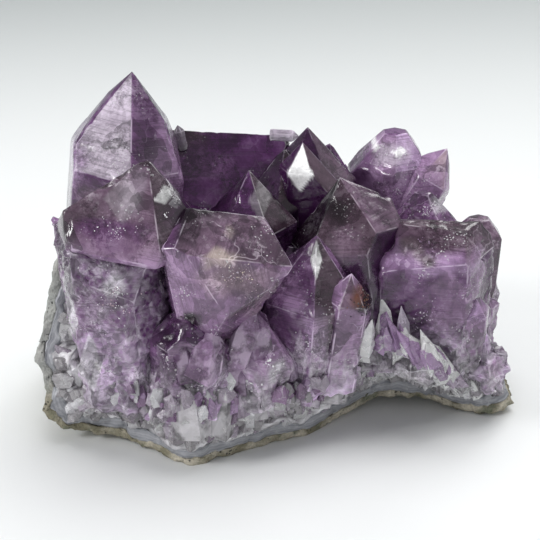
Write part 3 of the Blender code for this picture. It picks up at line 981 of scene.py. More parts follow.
@dataclass
class CrystalCrowd:
    """All the crystals that stand for CAD nodes."""

    violet: Amethyst = Amethyst(
        "violet_amethyst_glass", "violet_amethyst",
        cloud=0.4, facet=0.65, veil=0.5, clear=0.25, edges=0.75,
    )
    deep: Amethyst = Amethyst(
        "deep_amethyst_glass", "deep_amethyst",
        veil=0.15, lines=0.5, painted_glint=0.3, clear=0.3, haze=0.5,
    )
    pale: Amethyst = Amethyst(
        "pale_amethyst_glass", "pale_amethyst",
        cloud=0.35, facet=0.65, veil=0.7, painted_glint=1.0, rough=0.12, clear=0.2,
    )
    # the finish of the crystal whose cap carries a painted reflection, kept even so that the painted
    # white lies smooth
    mirror: Amethyst = Amethyst(
        "painted_reflection_face_glass", "deep_amethyst",
        cloud=0.15, facet=0.1, veil=0.05, lines=0.1, painted_glint=0.1, rough=0.15, edges=0.3,
    )
    mass: Amethyst = Amethyst("violet_mass_glass", "violet_mass", cloud=0.7, lines=0.2, rough=0.25)
    glass: Amethyst = Amethyst(
        "clear_quartz_glass", "clear_quartz", cloud=0.35, facet=0.6, lines=0.2, rough=0.05, clear=0.49
    )

    def table(self) -> tuple[Crystal, ...]:
        """The crystals, from the front left to the back right.

        Returns:
            One row for each CAD node that is a crystal.
        """
        v, d, p, t = self.violet, self.deep, self.pale, Tone
        return (
            Crystal(
                "tall_left_point", v, t.PLUM, t.PLUM,
                (Face(-16, 40, t.MIST), Face(43, 34, t.VIOLET), Face(-21, 2, t.PLUM)),
                stains=(
                    Stain(t.MAUVE, 0.85, 0.5, 8, 12), Stain(t.LAVENDER, 0.1, 0.6, 7, 10, 0.7),
                    Stain(t.DEEP, 0.72, 0.8, 5, 12, 0.6), Stain(t.DUSK, 0.45, 0.42, 12, 4, 0.7),
                ),
                axis=(0.12, 0, 1),
            ),
            Crystal(
                "front_left_point", v, t.SMOKE, t.MAUVE,
                (Face(-5, 32, t.DUSK), Face(49, 29, t.SMOKE), Face(-10, -5, t.VIOLET)),
                stains=(
                    Stain(t.SMOKE, 0.2, 0.5, 9, 7, 0.8), Stain(t.MIST, 0.52, 0.72, 5, 6, 0.35),
                    Stain(t.ASH, 0.47, 0.66, 6.0, 7.5, 0.28, kite=True),
                    # the white and the frost kites are painted reflections of lamps on the faces
                    Stain(t.WHITE, 0.73, 0.66, 3.4, 2.4, 0.85, kite=True),
                    Stain(t.FROST, 0.8, 0.57, 2.4, 2.0, 0.7, kite=True),
                    Stain(t.DEEP, 0.85, 0.45, 6, 5, 0.7), Stain(t.PLUM, 0.4, 0.3, 12, 4, 0.7),
                ),
                axis=(0.1, -0.12, 1), fade=0.25, chip=1.4,
            ),
            Crystal(
                "front_big_point", p, t.VIOLET, t.DUSK,
                (
                    Face(15, 12, t.MAUVE), Face(30, 56, t.DUSK), Face(37, -29, t.DUSK),
                    Face(-20, -8, t.MAUVE),
                ),
                stains=(
                    Stain(t.ROSE, 0.62, 0.64, 11, 6, 0.8), Stain(t.CREAM, 0.55, 0.78, 5, 2.5, 0.5),
                    Stain(t.DUSK, 0.8, 0.62, 7, 8, 0.7), Stain(t.INK, 0.5, 1.04, 30, 8, 0.95),
                    # the small ink patch low on the front is painted shade in a shallow cavity, where
                    # dark inclusion grains also sit
                    Stain(t.INK, 0.33, 0.35, 4, 3), Stain(t.VIOLET, 0.55, 0.3, 9, 6, 0.8),
                ),
                axis=(0.9, -0.37, 0.23), chip=1.5, swell=0.4, broken=0.12, spacing=0.9,
            ),
            Crystal(
                "front_left_block", p, t.VIOLET, t.LAVENDER,
                (Face(4, 18, t.PLUM), Face(-6, -6, t.VIOLET), Face(50, -2, t.PLUM)),
                stains=(
                    Stain(t.PLUM, 0.85, 0.55, 6, 8, 0.8), Stain(t.PLUM, 0.45, 0.92, 22, 9, 0.9),
                    Stain(t.PLUM, 0.66, 0.68, 12, 14, 0.7, kite=True),
                    Stain(t.LAVENDER, 0.42, 0.38, 13, 12, 0.8, kite=True),
                    Stain(t.FROST, 0.14, 0.58, 3.5, 15, 0.55, kite=True),
                    Stain(t.FROST, 0.3, 0.3, 4, 12, 0.5, kite=True),
                    Stain(t.FROST, 0.5, 0.8, 3.2, 4, 0.45),
                ),
                chip=2.4, swell=0.9, broken=0.8, spacing=0.9, fade=0.5,
            ),
            Crystal(
                "rust_column", v, t.MAUVE, t.LAVENDER, (Face(20, 30, t.DUSK),),
                stains=(Stain(t.RUST, 0.8, 0.84, 4, 3, 0.8), Stain(t.INK, 0.92, 0.78, 3, 3, 0.9)),
            ),
            Crystal(
                "front_centre_point", v, t.VIOLET, t.LAVENDER,
                (
                    Face(-27, 35, t.VIOLET), Face(30, 32, t.SMOKE), Face(-30, 0, t.VIOLET),
                    Face(30, 0, t.DUSK),
                ),
                stains=(
                    # the white kite is a painted reflection of a lamp on a face
                    Stain(t.WHITE, 0.55, 0.88, 1.9, 5.5, 0.8, kite=True),
                    Stain(t.MAUVE, 0.32, 0.7, 5, 8, 0.5, kite=True),
                    Stain(t.LAVENDER, 0.55, 0.42, 5, 12, 0.6),
                    Stain(t.MIST, 0.4, 0.3, 2.5, 12, 0.5, kite=True),
                ),
                chip=1.4, broken=0.2, spacing=1.0,
            ),
            Crystal(
                "centre_dark_point", d, t.DEEP, t.DEEP,
                (Face(-77, 33, t.INK), Face(-18, 40, t.SMOKE), Face(56, 54, t.DUSK)),
                stains=(Stain(t.DUSK, 0.45, 0.7, 7, 5, 0.6), Stain(t.INK, 0.28, 0.9, 7, 6, 0.9)),
                axis=(-0.12, 0.08, 1),
            ),
            Crystal(
                "right_front_foot", p, t.MIST, t.ASH, stains=(Stain(t.FROST, 0.4, 0.7, 4, 4, 0.8),),
            ),
            Crystal("right_lower_column", p, t.MAUVE, t.MIST, (Face(16, 32, t.LAVENDER),)),
            Crystal(
                "right_big_point", v, t.VIOLET, t.MIST,
                (
                    Face(-15, 52, t.VIOLET), Face(0, 85, t.OLIVE), Face(-5, -3, t.PLUM),
                    Face(53, 37, t.DUSK),
                ),
                stains=(
                    Stain(t.LAVENDER, 0.5, 0.84, 20, 4.0, 0.6), Stain(t.OLIVE, 0.35, 0.89, 5, 3, 0.7),
                    Stain(t.SMOKE, 0.5, 1.0, 24, 7, 0.95), Stain(t.DEEP, 0.25, 0.65, 6, 8, 0.7),
                    Stain(t.MAUVE, 0.62, 0.6, 12, 13, 0.6, kite=True),
                    Stain(t.PLUM, 0.38, 0.62, 9, 11, 0.6, kite=True),
                    Stain(t.LAVENDER, 0.45, 0.34, 14, 7, 0.7),
                ),
                chip=1.8, swell=0.4, broken=0.3, fade=0.5, spacing=1.0,
            ),
            Crystal("dark_wedge_point", d, t.INK, t.DEEP),
            Crystal(
                "front_left_foot", v, t.VIOLET, t.LAVENDER, (Face(19, 32, t.PLUM), Face(0, 0, t.MAUVE)),
                stains=(Stain(t.DEEP, 0.3, 0.9, 6, 5, 0.8), Stain(t.LAVENDER, 0.6, 0.4, 8, 8, 0.7)),
                chip=2.4, swell=1.3, fade=0.7, spacing=0.9,
            ),
            Crystal(
                "front_centre_foot", p, t.MAUVE, t.MIST, fade=0.6,
                stains=(
                    Stain(t.WHITE, 0.34, 0.72, 3.2, 4.5, 0.9, kite=True),
                    Stain(t.FROST, 0.8, 0.5, 3, 3, 0.6),
                ),
            ),
            Crystal(
                "right_pale_foot", p, t.LAVENDER, t.MIST, stains=(Stain(t.DUSK, 0.6, 0.5, 4, 5, 0.6),),
            ),
            # painted reflection: the white cap face and the white kite stand in for a lamp mirrored in
            # this face
            Crystal(
                "mirror_facet_point", self.mirror, t.DEEP, t.DEEP,
                (Face(-8, 38, t.WHITE), Face(52, 38, t.SMOKE)),
                stains=(Stain(t.WHITE, 0.3, 0.735, 4.6, 6.5, 1.0, kite=True),), fade=0.15, chip=0.4,
            ),
            Crystal("back_mirror_point", d, t.DEEP, t.DEEP, (Face(45, 38, t.DUSK),)),
            Crystal(
                "centre_small_point", d, t.DEEP, t.DEEP, (Face(-5, 38, t.PLUM), Face(55, 38, t.SMOKE)),
                # painted reflection: the grey kite stands in for a lamp mirrored in a small face
                stains=(Stain(t.ASH, 0.62, 0.74, 4.2, 5.5, 0.5, kite=True),),
            ),
            Crystal(
                "back_ridge_point", d, t.DEEP, t.DEEP, (Face(2, 38, t.PLUM), Face(60, 38, t.INK)),
                stains=(
                    Stain(t.SMOKE, 0.12, 0.95, 12, 4, 0.9), Stain(t.VIOLET, 0.35, 0.85, 10, 5, 0.7),
                ),
                chip=0.3,
            ),
            Crystal("ridge_side_point", d, t.DEEP, t.DEEP, (Face(20, 38, t.SMOKE),)),
            Crystal("back_middle_point", d, t.PLUM, t.DEEP),
            Crystal(
                "back_pale_point", p, t.MAUVE, t.PLUM, (Face(0, 90, t.PLUM), Face(30, 37, t.LAVENDER)),
                stains=(
                    Stain(t.MIST, 0.6, 0.88, 6, 4, 0.8), Stain(t.PLUM, 0.25, 0.8, 6, 8, 0.6),
                    # the two white kites are painted glints
                    Stain(t.WHITE, 0.7, 0.91, 3.0, 1.6, 0.8, kite=True),
                    Stain(t.WHITE, 0.4, 0.93, 1.6, 2.2, 0.7, kite=True),
                ),
            ),
            Crystal(
                "back_right_point", p, t.MAUVE, t.MAUVE, (Face(22, 32, t.ROSE),),
                stains=(Stain(t.MAUVE, 0.5, 0.7, 8, 6),),
            ),
            Crystal(
                "right_middle_point", v, t.VIOLET, t.VIOLET,
                stains=(Stain(t.FROST, 0.7, 0.85, 4, 2, 0.5),),
            ),
            Crystal(
                "right_end_point", v, t.DUSK, t.MAUVE,
                stains=(
                    Stain(t.INK, 0.4, 0.72, 5, 6, 0.6), Stain(t.CREAM, 0.5, 0.45, 3, 6, 0.8),
                    # the white and the frost kites are painted reflections of lamps on the faces
                    Stain(t.WHITE, 0.66, 0.84, 2.4, 3.6, 0.8, kite=True),
                    Stain(t.FROST, 0.3, 0.86, 1.8, 2.6, 0.6, kite=True),
                ),
            ),
            Crystal("right_edge_column", v, t.MAUVE, t.MAUVE),
            Crystal("ridge_clear_shard", self.glass, t.MIST, t.FROST, spacing=0.6, chip=0.2),
            Crystal("ridge_clear_block", self.glass, t.MIST, t.FROST, spacing=0.6, chip=0.2),
            Crystal("back_left_point", v, t.VIOLET),
            Crystal("back_centre_left_point", v, t.PLUM),
            Crystal("back_centre_point", v, t.VIOLET),
            Crystal("back_centre_right_point", v, t.VIOLET),
            Crystal("back_right_low_point", v, t.PLUM),
            Crystal("back_right_corner_point", v, t.MAUVE),
            Crystal("right_back_point", v, t.VIOLET),
            Crystal("back_low_left_point", v, t.VIOLET, axis=(-0.3, 1, 0.6)),
            Crystal("back_low_middle_point", p, t.LAVENDER, t.ASH, axis=(0, 1, 0.6)),
            Crystal("back_low_centre_point", v, t.MAUVE, axis=(0.1, 1, 0.55)),
            Crystal("back_low_right_point", p, t.LAVENDER, t.ASH, axis=(0.2, 1, 0.6)),
            # partly the stone's own deep violet and partly painted shade of the recesses between the
            # crystals; paler at its low front
            Crystal(
                "amethyst_mass", self.mass, t.DEEP, t.MAUVE, fade=0.6, chip=3, swell=1.2, spacing=2,
            ),
        )

    def build(self) -> None:
        """Build and dress every crystal."""
        finishes = (self.violet, self.deep, self.pale, self.mirror, self.mass, self.glass)
        materials = {finish.name: finish.make() for finish in finishes}
        for number, crystal in enumerate(self.table()):
            finish = crystal.finish
            piece = crystal.build(SEED_STEP * number)
            dress(piece, materials[finish.name], crystal.node)


@dataclass(frozen=True)
class Spot:
    """A patch of small grains on the front of a crystal, densest at its middle.

    across and up are shares of the crystal's box, reach is the patch's radius and sizes are the
    least and greatest grain, in millimetres.
    """

    node: str
    tones: tuple[Tone, ...]
    across: float
    up: float
    reach: float
    count: int
    sizes: tuple[float, float]


@dataclass
class Grains:
    """Grains that sit on the crystals: quartz flakes that glitter, and dark or rusty inclusions."""

    name: str
    slot: str
    finish: Quartz
    spots: tuple[Spot, ...]
    seed: int = 60

    def chip(self) -> tuple[Array, Array]:
        """A double pyramid on four corners, of radius 1, with its triangles.

        Returns:
            Six points and eight triangles.
        """
        points = np.array([(1, 0, 0), (0, 1, 0), (-1, 0, 0), (0, -1, 0), (0, 0, 1), (0, 0, -1)], float)
        faces = [(k, (k + 1) % 4, 4) for k in range(4)] + [((k + 1) % 4, k, 5) for k in range(4)]
        return points, np.array(faces)

    def places(self, spot: Spot, dice: np.random.Generator) -> tuple[Array, Array]:
        """Points of the crystal's front within reach of the spot's middle, with their normals.

        Args:
            spot: the patch.
            dice: the source of random numbers.

        Returns:
            N points in millimetres and N normals.
        """
        crystal = bpy.data.objects[spot.node + "_grown"]
        points, normals = point_data(crystal, "co") / MM, point_data(crystal, "normal")
        low, high = points.min(axis=0), points.max(axis=0)
        middle = low + (high - low) * [spot.across, 0, spot.up]
        away = np.hypot(points[:, 0] - middle[0], points[:, 2] - middle[2]) / spot.reach
        clump = ease(Grain(self.seed).fractal(points, 4, 3), 0.05, 0.7)
        weight = np.exp(-2.5 * away**2) * (0.01 + clump) * (away < 1.6) * (normals[:, 1] < -0.1)
        chosen = dice.choice(len(points), spot.count, p=weight / weight.sum())
        return points[chosen], normals[chosen]

    def build(self) -> None:
        """Scatter the grains: each is the chip squashed along the surface's normal."""
        dice = np.random.default_rng(self.seed)
        base, faces = self.chip()
        found, tints = [], []
        for spot in self.spots:
            points, normals = self.places(spot, dice)
            count = len(points)
            points = points + dice.normal(0, 0.35, (count, 3))
            size = dice.uniform(*spot.sizes, (count, 1, 1))
            frames = frames_on(normals, dice)
            corners = (base * dice.uniform(0.5, 1.2, (count, 6, 1))) * [1.0, 0.7, 0.45]
            found.append(points[:, None] + corners @ frames * size)
            tones = palette(spot.tones)[dice.integers(0, len(spot.tones), count)]
            tints.append(tones * dice.uniform(0.8, 1.2, (count, 1)))
        tints = {"tint": np.concatenate(tints)}
        dress(scattered(self.name, np.concatenate(found), faces, tints), self.finish.make())


BRIGHT = (Tone.FROST, Tone.MIST)
COOL = (Tone.MIST, Tone.LAVENDER)
WARM = (Tone.CREAM, Tone.ROSE)
QUARTZ_FLAKES = (
    Spot("front_big_point", (Tone.MIST, *WARM), 0.62, 0.60, 9, 160, (0.10, 0.42)),
    Spot("front_big_point", WARM, 0.12, 0.75, 4, 50, (0.12, 0.45)),
    Spot("front_left_point", BRIGHT, 0.40, 0.25, 9, 80, (0.10, 0.35)),
    Spot("front_left_point", (Tone.FROST, Tone.ASH), 0.76, 0.60, 4, 80, (0.15, 0.5)),
    Spot("front_left_block", (*BRIGHT, Tone.ROSE), 0.52, 0.75, 6, 220, (0.12, 0.5)),
    Spot("front_left_block", COOL, 0.20, 0.55, 9, 160, (0.12, 0.5)),
    Spot("right_big_point", COOL, 0.55, 0.85, 12, 80, (0.10, 0.35)),
    Spot("right_big_point", COOL, 0.40, 0.50, 14, 90, (0.12, 0.4)),
    Spot("right_end_point", (*WARM, Tone.FROST), 0.50, 0.45, 5, 160, (0.2, 0.7)),
    Spot("right_middle_point", BRIGHT, 0.55, 0.86, 5, 80, (0.12, 0.4)),
    Spot("back_pale_point", BRIGHT, 0.65, 0.88, 6, 60, (0.12, 0.4)),
    Spot("front_centre_point", BRIGHT, 0.50, 0.45, 8, 80, (0.10, 0.4)),
    Spot("front_left_foot", (*BRIGHT, Tone.ASH), 0.55, 0.45, 12, 200, (0.2, 0.8)),
    Spot("front_centre_foot", BRIGHT, 0.45, 0.55, 10, 160, (0.2, 0.8)),
)
DARK_GRAINS = (
    Spot("rust_column", (Tone.RUST, Tone.INK, Tone.INK), 0.82, 0.80, 4.0, 150, (0.15, 0.7)),
    Spot("front_big_point", (Tone.INK, Tone.SMOKE), 0.33, 0.36, 2.5, 60, (0.2, 0.7)),
    Spot("right_end_point", (Tone.INK, Tone.RUST), 0.42, 0.58, 2.5, 40, (0.2, 0.6)),
    Spot("front_left_block", (Tone.RUST, Tone.CREAM), 0.85, 0.70, 4, 40, (0.1, 0.4)),
)


# ---------------------------------------------------------------- wall

BED_BLOCKS, BED_CRUMBS = Rubble(5.0), Rubble(2.0)


@dataclass
class Wall:
    """The curved geode wall: rind, agate and quartz bed, swept from the right end to the left top.

    Each station is x, z, front edge y and back edge y. A smooth curve runs through them, and each
    layer is the space between two depths measured inwards from it. depth is about how deep the
    wall is from front to back, and row_step is about how far apart its rows are. chord is half the
    number of rows that the direction inwards is taken over, and end_lean is how far that leans
    away from the right end, over end_rows.
    """

    stations: tuple[tuple[float, float, float, float], ...] = (
        (82, 3, -8, 18), (74, 1, -12, 32), (63, 1, -9, 42), (52, 3, -5, 49), (42, 4, -4, 53),
        (33, 3, -5, 55), (23, 1, -12, 57), (9, 0, -25, 58), (-6, 0, -32, 57), (-18, 0, -39, 55),
        (-30, 0, -44, 53), (-42, 1, -36, 51), (-54, 2, -29, 47), (-66, 3, -27, 41),
        (-74, 7, -28, 35), (-78, 18, -26, 30), (-79, 32, -21, 26), (-77, 46, -16, 23),
        (-74, 57, -12, 20), (-70, 66, -9, 17),
    )
    rind: float = 2.2
    agate: float = 3.2
    bed: float = 12.0
    depth: float = 90.0
    row_step: float = 0.75
    gap: float = 0.3
    depth_step: float = 0.7
    rows: int = 230
    columns: int = 84
    chord: int = 24
    end_lean: float = 1.0
    end_rows: int = 60

    def curve(self) -> tuple[Array, Array]:
        """A Catmull-Rom curve through the stations, with the direction inwards at each row.

        Inwards is square to a chord over several rows, and leans away from the broken right end.

        Returns:
            rows by 4 stations and rows by 3 directions.
        """
        table = np.array(self.stations, float)
        at = np.linspace(0, len(table) - 1, self.rows)
        start = np.minimum(at.astype(int), len(table) - 2)
        t = (at - start)[:, None]
        a, b, c, d = (table[np.clip(start + k, 0, len(table) - 1)] for k in (-1, 0, 1, 2))
        even = 2 * b + (c - a) * t
        bend = (2 * a - 5 * b + 4 * c - d) * t**2 + (3 * b - a - 3 * c + d) * t**3
        line = (even + bend) / 2
        row = np.arange(self.rows)
        before = line[np.maximum(row - self.chord, 0)]
        after = line[np.minimum(row + self.chord, self.rows - 1)]
        inward = np.stack([after[:, 1] - before[:, 1], 0 * row, before[:, 0] - after[:, 0]], 1)
        inward /= np.linalg.norm(inward, axis=1, keepdims=True)
        inward[:, 0] -= self.end_lean * np.maximum(1 - row / self.end_rows, 0)
        return line, inward

    def place(self, row: Array, share: Array, depth: Array) -> Array:
        """Points of the wall: along its curve, from front to back, and inwards.

        Args:
            row: row numbers.
            share: 0 at the front edge to 1 at the back edge.
            depth: millimetres inwards.

        Returns:
            Positions with a last axis of 3, before the wall's shift into the frame.
        """
        line, inward = self.curve()
        row, share, depth = np.broadcast_arrays(row, share, depth)
        x, z, front, back = (line[:, k][row] for k in range(4))
        point = np.stack([x, front + (back - front) * share, z], axis=-1)
        return point + inward[row] * depth[..., None]

    def shift(self) -> Array:
        """From the curve's own millimetres to the CAD frame's, by the rind's box.

        Returns:
            Millimetres along X, Y and Z.
        """
        low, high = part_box("rind")
        cad = (np.array(low) + np.array(high)) / 2 / MM
        rows = np.arange(self.rows)[:, None]
        shares, depths = np.linspace(0, 1, 12)[None], (0.0, self.rind)
        own = np.concatenate([self.place(rows, shares, depth).reshape(-1, 3) for depth in depths])
        middle = (own.min(axis=0) + own.max(axis=0)) / 2
        return (cad - middle) * [1, 1, 0]

    def layer(
        self, name: str, start: float, end: float, ragged: float, bump: float, blocks: float,
        seed: int,
    ) -> bpy.types.Object:
        """One layer of the wall, as a closed shell of six grids.

        Args:
            name: the piece's name.
            start: depth of its outer face.
            end: depth of its inner face.
            ragged: how far its broken borders wander.
            bump: height of its own roughness.
            blocks: how far its broken blocks stand out at the borders.
            seed: the noise's seed.

        Returns:
            The piece.
        """
        skin = Skin()
        rows = np.arange(self.rows)
        shares = np.linspace(0, 1, self.columns)
        depths = np.linspace(start, end, max(3, math.ceil((end - start) / self.depth_step)))
        last = self.rows - 1
        grids = (
            (rows[:, None], shares[None], np.array([[start]])),
            (rows[:, None], shares[None], np.array([[end]])),
            (rows[:, None], np.array([[0.0]]), depths[None]),
            (rows[:, None], np.array([[1.0]]), depths[None]),
            (np.array([[0]]), shares[:, None], depths[None]),
            (np.array([[last]]), shares[:, None], depths[None]),
        )
        for row, share, depth in grids:
            row, share, depth = np.broadcast_arrays(row, share, depth)
            points = self.place(row, share, depth)
            sides, ends = np.minimum(share, 1 - share), np.minimum(row, last - row)
            border = np.minimum(sides * self.depth, ends * self.row_step)
            skin.add(points, depth=depth.astype(float), border=border.astype(float))
        points, faces, values = skin.weld()
        points = points + self.shift()
        near = np.exp(-((values["border"] / 5.0) ** 2))
        low = ease(points[:, 2], 1.0, 7.0)[:, None]
        common = Grain(7).drift(points, 7, 4) * (0.5 + ragged * near) * (0.25 + 0.75 * low)
        own = Grain(seed).drift(points, 2.6, 3) * bump
        block = BED_BLOCKS.blocks(points)[0] + 0.5 * BED_CRUMBS.blocks(points)[0]
        front = np.where(points[:, 1] < 10, -1.0, 1.0)
        own[:, 1] += front * blocks * block * near[:, 0] * ease(values["depth"][:, 0], start, start + 3)
        moved = points + common + own
        floor = 0.02 * (1 + Grain(seed + 3).fractal(points, 3, 2))
        moved[:, 2] = np.maximum(moved[:, 2], floor)
        tint = self.tinted(moved, values["depth"], seed)
        return make_piece(name, moved, faces, {"depth": values["depth"], "tint": tint})

    def tinted(self, points: Array, depth: Array, seed: int) -> Array:
        """Pale quartz near the agate, with smoky patches, and violet further in.

        Args:
            points: N by 3 positions.
            depth: N by 1 depths.
            seed: the noise's seed.

        Returns:
            N by 3 colours.
        """
        patch = ease(Grain(seed + 9).fractal(points, 8, 3), -0.1, 0.5)[:, None]
        colour = blend(Tone.ASH.rgb, Tone.SMOKE.rgb, 0.7 * patch)
        colour = blend(colour, Tone.MAUVE.rgb, 0.7 * ease(depth, 11.0, 18.0))
        for rubble in (BED_BLOCKS, BED_CRUMBS):
            _, tone, border = rubble.blocks(points)
            colour = colour * (1 + 0.4 * tone[:, None])
            colour = blend(colour, Tone.FROST.rgb, 0.5 * (1 - ease(border, 0.1, 0.55))[:, None])
        return np.clip(colour, 0, 1)

    def build(self) -> None:
        """Build and dress the three layers."""
        first = self.rind + self.gap
        second = first + self.agate + self.gap
        crust, wax, glass = Rind("basalt_crust"), Agate("grey_agate_wax"), Quartz("quartz_bed_glass")
        layers = (
            ("rind", 0.0, first + 0.1, 1.4, 0.60, 0.3, crust, "basalt_rind"),
            ("agate_band", first, second + 0.1, 1.4, 0.30, 0.4, wax, "grey_agate"),
            ("quartz_bed", second, second + self.bed, 1.6, 0.50, 2.6, glass, "milky_quartz"),
        )
        for number, (node, start, end, ragged, bump, blocks, finish, slot) in enumerate(layers):
            piece = self.layer(node + "_stone", start, end, ragged, bump, blocks, 500 + 40 * number)
            dress(piece, finish.make(), node)


PALE_TONES = (Tone.ASH, Tone.MIST, Tone.FROST, Tone.WHITE, Tone.ASH, Tone.ASH)
ROOT_TONES = (Tone.MIST, Tone.LAVENDER, Tone.ASH, Tone.FROST, Tone.MAUVE)
VIOLET_TONES = (Tone.MAUVE, Tone.MAUVE, Tone.VIOLET, Tone.LAVENDER, Tone.VIOLET)
FLAME_TONES = (Tone.WHITE, Tone.FROST, Tone.ASH)
SHARD_TONES = (Tone.FROST, Tone.ASH, Tone.ASH, Tone.MIST)
LOWEST_TOOTH = 0.3


@dataclass(frozen=True)
class Band:
    """A crowd of small crystals over a stretch of the wall.

    rows and shares bound the stretch, and depths is how far above the wall the crystals stand.
    push and stray bend them away from straight inwards. low and high are their tones at the
    least and the greatest depth. slope is how far forward they stand for each step of depth,
    where the points above hang over the wall's edge.
    """

    name: str
    seed: int
    count: int
    rows: tuple[int, int]
    shares: tuple[float, float]
    depths: tuple[float, float]
    push: tuple[float, float, float]
    widths: tuple[float, float] = (0.8, 3.2)
    stretch: tuple[float, float] = (1.5, 3.0)
    low: tuple[Tone, ...] = PALE_TONES
    high: tuple[Tone, ...] = ROOT_TONES
    stray: float = 0.25
    slope: float = 0.0
    slot: str = "milky_quartz"


@dataclass
class Teeth:
    """Small quartz crystals that crowd the broken front, the ends and the back of the bed."""

    wall: Wall
    seed: int = 4
    jitter: float = 0.22
    flattest: float = 0.5

    def bands(self) -> tuple[Band, ...]:
        """The crowds, from the front left to the back.

        Returns:
            One row for each crowd.
        """
        fused = {"high": VIOLET_TONES, "stray": 0.14, "slot": "violet_amethyst"}
        lean, upright = (0, -0.25, 0.3), (0, -0.12, 0.5)
        return (
            Band("front_left_teeth", 21, 240, (126, 178), (0.0, 0.05), (7, 26), lean, slope=0.75),
            Band("front_middle_teeth", 31, 220, (90, 128), (0.0, 0.05), (7, 28), lean, slope=0.30),
            Band("front_right_teeth", 41, 220, (56, 92), (0.0, 0.06), (7, 24), lean, slope=0.85),
            Band(
                "right_flames", 24, 420, (8, 66), (0.0, 0.06), (7, 31), (0, -0.2, 0.5),
                (1.0, 3.4), (2.2, 5.0), FLAME_TONES, (Tone.WHITE, Tone.LAVENDER), slope=0.95,
            ),
            Band(
                "front_left_roots", 22, 50, (128, 170), (0.0, 0.06), (14, 34), upright,
                (3.0, 7.5), (1.8, 3.2), slope=0.45, **fused,
            ),
            Band(
                "front_middle_roots", 32, 80, (88, 128), (0.0, 0.08), (12, 36), upright,
                (3.0, 8.0), (1.8, 3.2), slope=0.12, **fused,
            ),
            Band(
                "front_right_roots", 42, 70, (44, 90), (0.0, 0.08), (12, 34), upright,
                (3.0, 7.5), (1.8, 3.4), slope=0.55, **fused,
            ),
            Band(
                "front_shards", 51, 110, (64, 172), (0.0, 0.04), (7, 22), (0, -0.25, 0.4),
                (1.5, 3.2), (1.6, 3.0), SHARD_TONES, stray=0.2, slope=0.5,
            ),
            Band(
                "left_lumps", 25, 170, (166, 228), (-0.03, 0.25), (5, 12), (0.1, -0.5, 0.2),
                (1.6, 4.0), (1.2, 2.6), high=PALE_TONES, stray=0.4,
            ),
            Band(
                "right_teeth", 26, 90, (0, 14), (0.0, 1.0), (6, 14), (0.5, -0.1, 0.3),
                (1.0, 2.8), (1.8, 3.5),
            ),
            Band(
                "back_teeth", 27, 380, (6, 226), (0.97, 1.0), (7, 22), (0, 0.25, 0.1),
                (1.0, 3.2), (2.0, 4.0),
            ),
            Band(
                "back_columns", 28, 80, (20, 190), (0.84, 0.97), (14, 34), (0, 0.1, 0.7),
                (3.5, 7.0), (2.5, 4.5), ROOT_TONES, VIOLET_TONES, 0.12, slot="violet_amethyst",
            ),
        )

    def template(self) -> tuple[Array, Array]:
        """A six-sided rod of radius 1 and height 1 under a pyramid, with its triangles.

        Returns:
            Fourteen points and 24 triangles.
        """
        turn = np.arange(6) * math.pi / 3
        ring = np.stack([np.cos(turn), np.sin(turn), 0 * turn], 1)
        points = np.concatenate([ring, ring * [0.9, 0.9, 0] + [0, 0, 0.62], [[0, 0, 0], [0, 0, 1.0]]])
        faces = []
        for k in range(6):
            n = (k + 1) % 6
            faces += [(k, n, 6 + n), (k, 6 + n, 6 + k), (6 + k, 6 + n, 13), (n, k, 12)]
        return points, np.array(faces)

    def scatter(self, roots: Array, up: Array, size: Array) -> Array:
        """Stand a tooth on each root.

        Each tooth is the template, jittered at its corners, scaled, flattened by chance and turned
        to its own direction.

        Args:
            roots: N by 3 positions.
            up: N by 3 directions.
            size: N by 2 widths and lengths.

        Returns:
            N by corners by 3 positions.
        """
        dice = np.random.default_rng(self.seed)
        base, _ = self.template()
        frames = frames_on(up, dice)
        jitter = dice.uniform(-self.jitter, self.jitter, (len(up), len(base), 3))
        corners = base + jitter * [1, 1, 0.5]
        flat = dice.uniform(self.flattest, 1.0, len(up))
        sizes = np.stack([size[:, 0], size[:, 0] * flat, size[:, 1]], axis=1)
        points = roots[:, None] + (corners * sizes[:, None]) @ frames
        points[..., 2] = np.maximum(points[..., 2], LOWEST_TOOTH)
        return points

    def crowd(self, band: Band) -> bpy.types.Object:
        """A crowd of crystals over a stretch of the wall, in the tones of their depth.

        Args:
            band: where they stand and how big they are.

        Returns:
            The piece.
        """
        dice = np.random.default_rng(band.seed)
        count = band.count
        row = dice.integers(band.rows[0], band.rows[1], count)
        share = dice.uniform(*band.shares, count)
        rise = dice.uniform(0, 1, count) ** 1.5
        depth = band.depths[0] + (band.depths[1] - band.depths[0]) * rise
        lean = np.array(band.push) * dice.uniform(0.2, 1.0, (count, 1))
        lean += dice.normal(0, band.stray, (count, 3))
        width = dice.uniform(*band.widths, count)
        size = np.stack([width, width * dice.uniform(*band.stretch, count)], 1)
        low = palette(band.low)[dice.integers(0, len(band.low), count)]
        high = palette(band.high)[dice.integers(0, len(band.high), count)]
        deep = ease(rise + dice.normal(0, 0.15, count), 0.15, 0.75)[:, None]
        tint = blend(low, high, deep) * dice.uniform(0.75, 1.15, (count, 1))
        roots = self.wall.place(row, share, depth) + self.wall.shift()
        roots[:, 1] -= band.slope * (depth - band.depths[0])
        points = self.scatter(roots, unit(self.wall.curve()[1][row] + lean), size)
        return scattered(band.name, points, self.template()[1], {"tint": tint, "grown": depth[:, None]})

    def build(self) -> None:
        """Build and dress the bands of teeth and the columns behind them."""
        fused = Amethyst(
            "fused_quartz_glass", "violet_amethyst", veil=0.5, painted_glint=0.7, rough=0.15, clear=0.35
        )
        materials = {
            "milky_quartz": Quartz("quartz_tooth_glass", clear=0.4).make(),
            "violet_amethyst": fused.make(),
        }
        for band in self.bands():
            dress(self.crowd(band), materials[band.slot])


# ---------------------------------------------------------------- studio


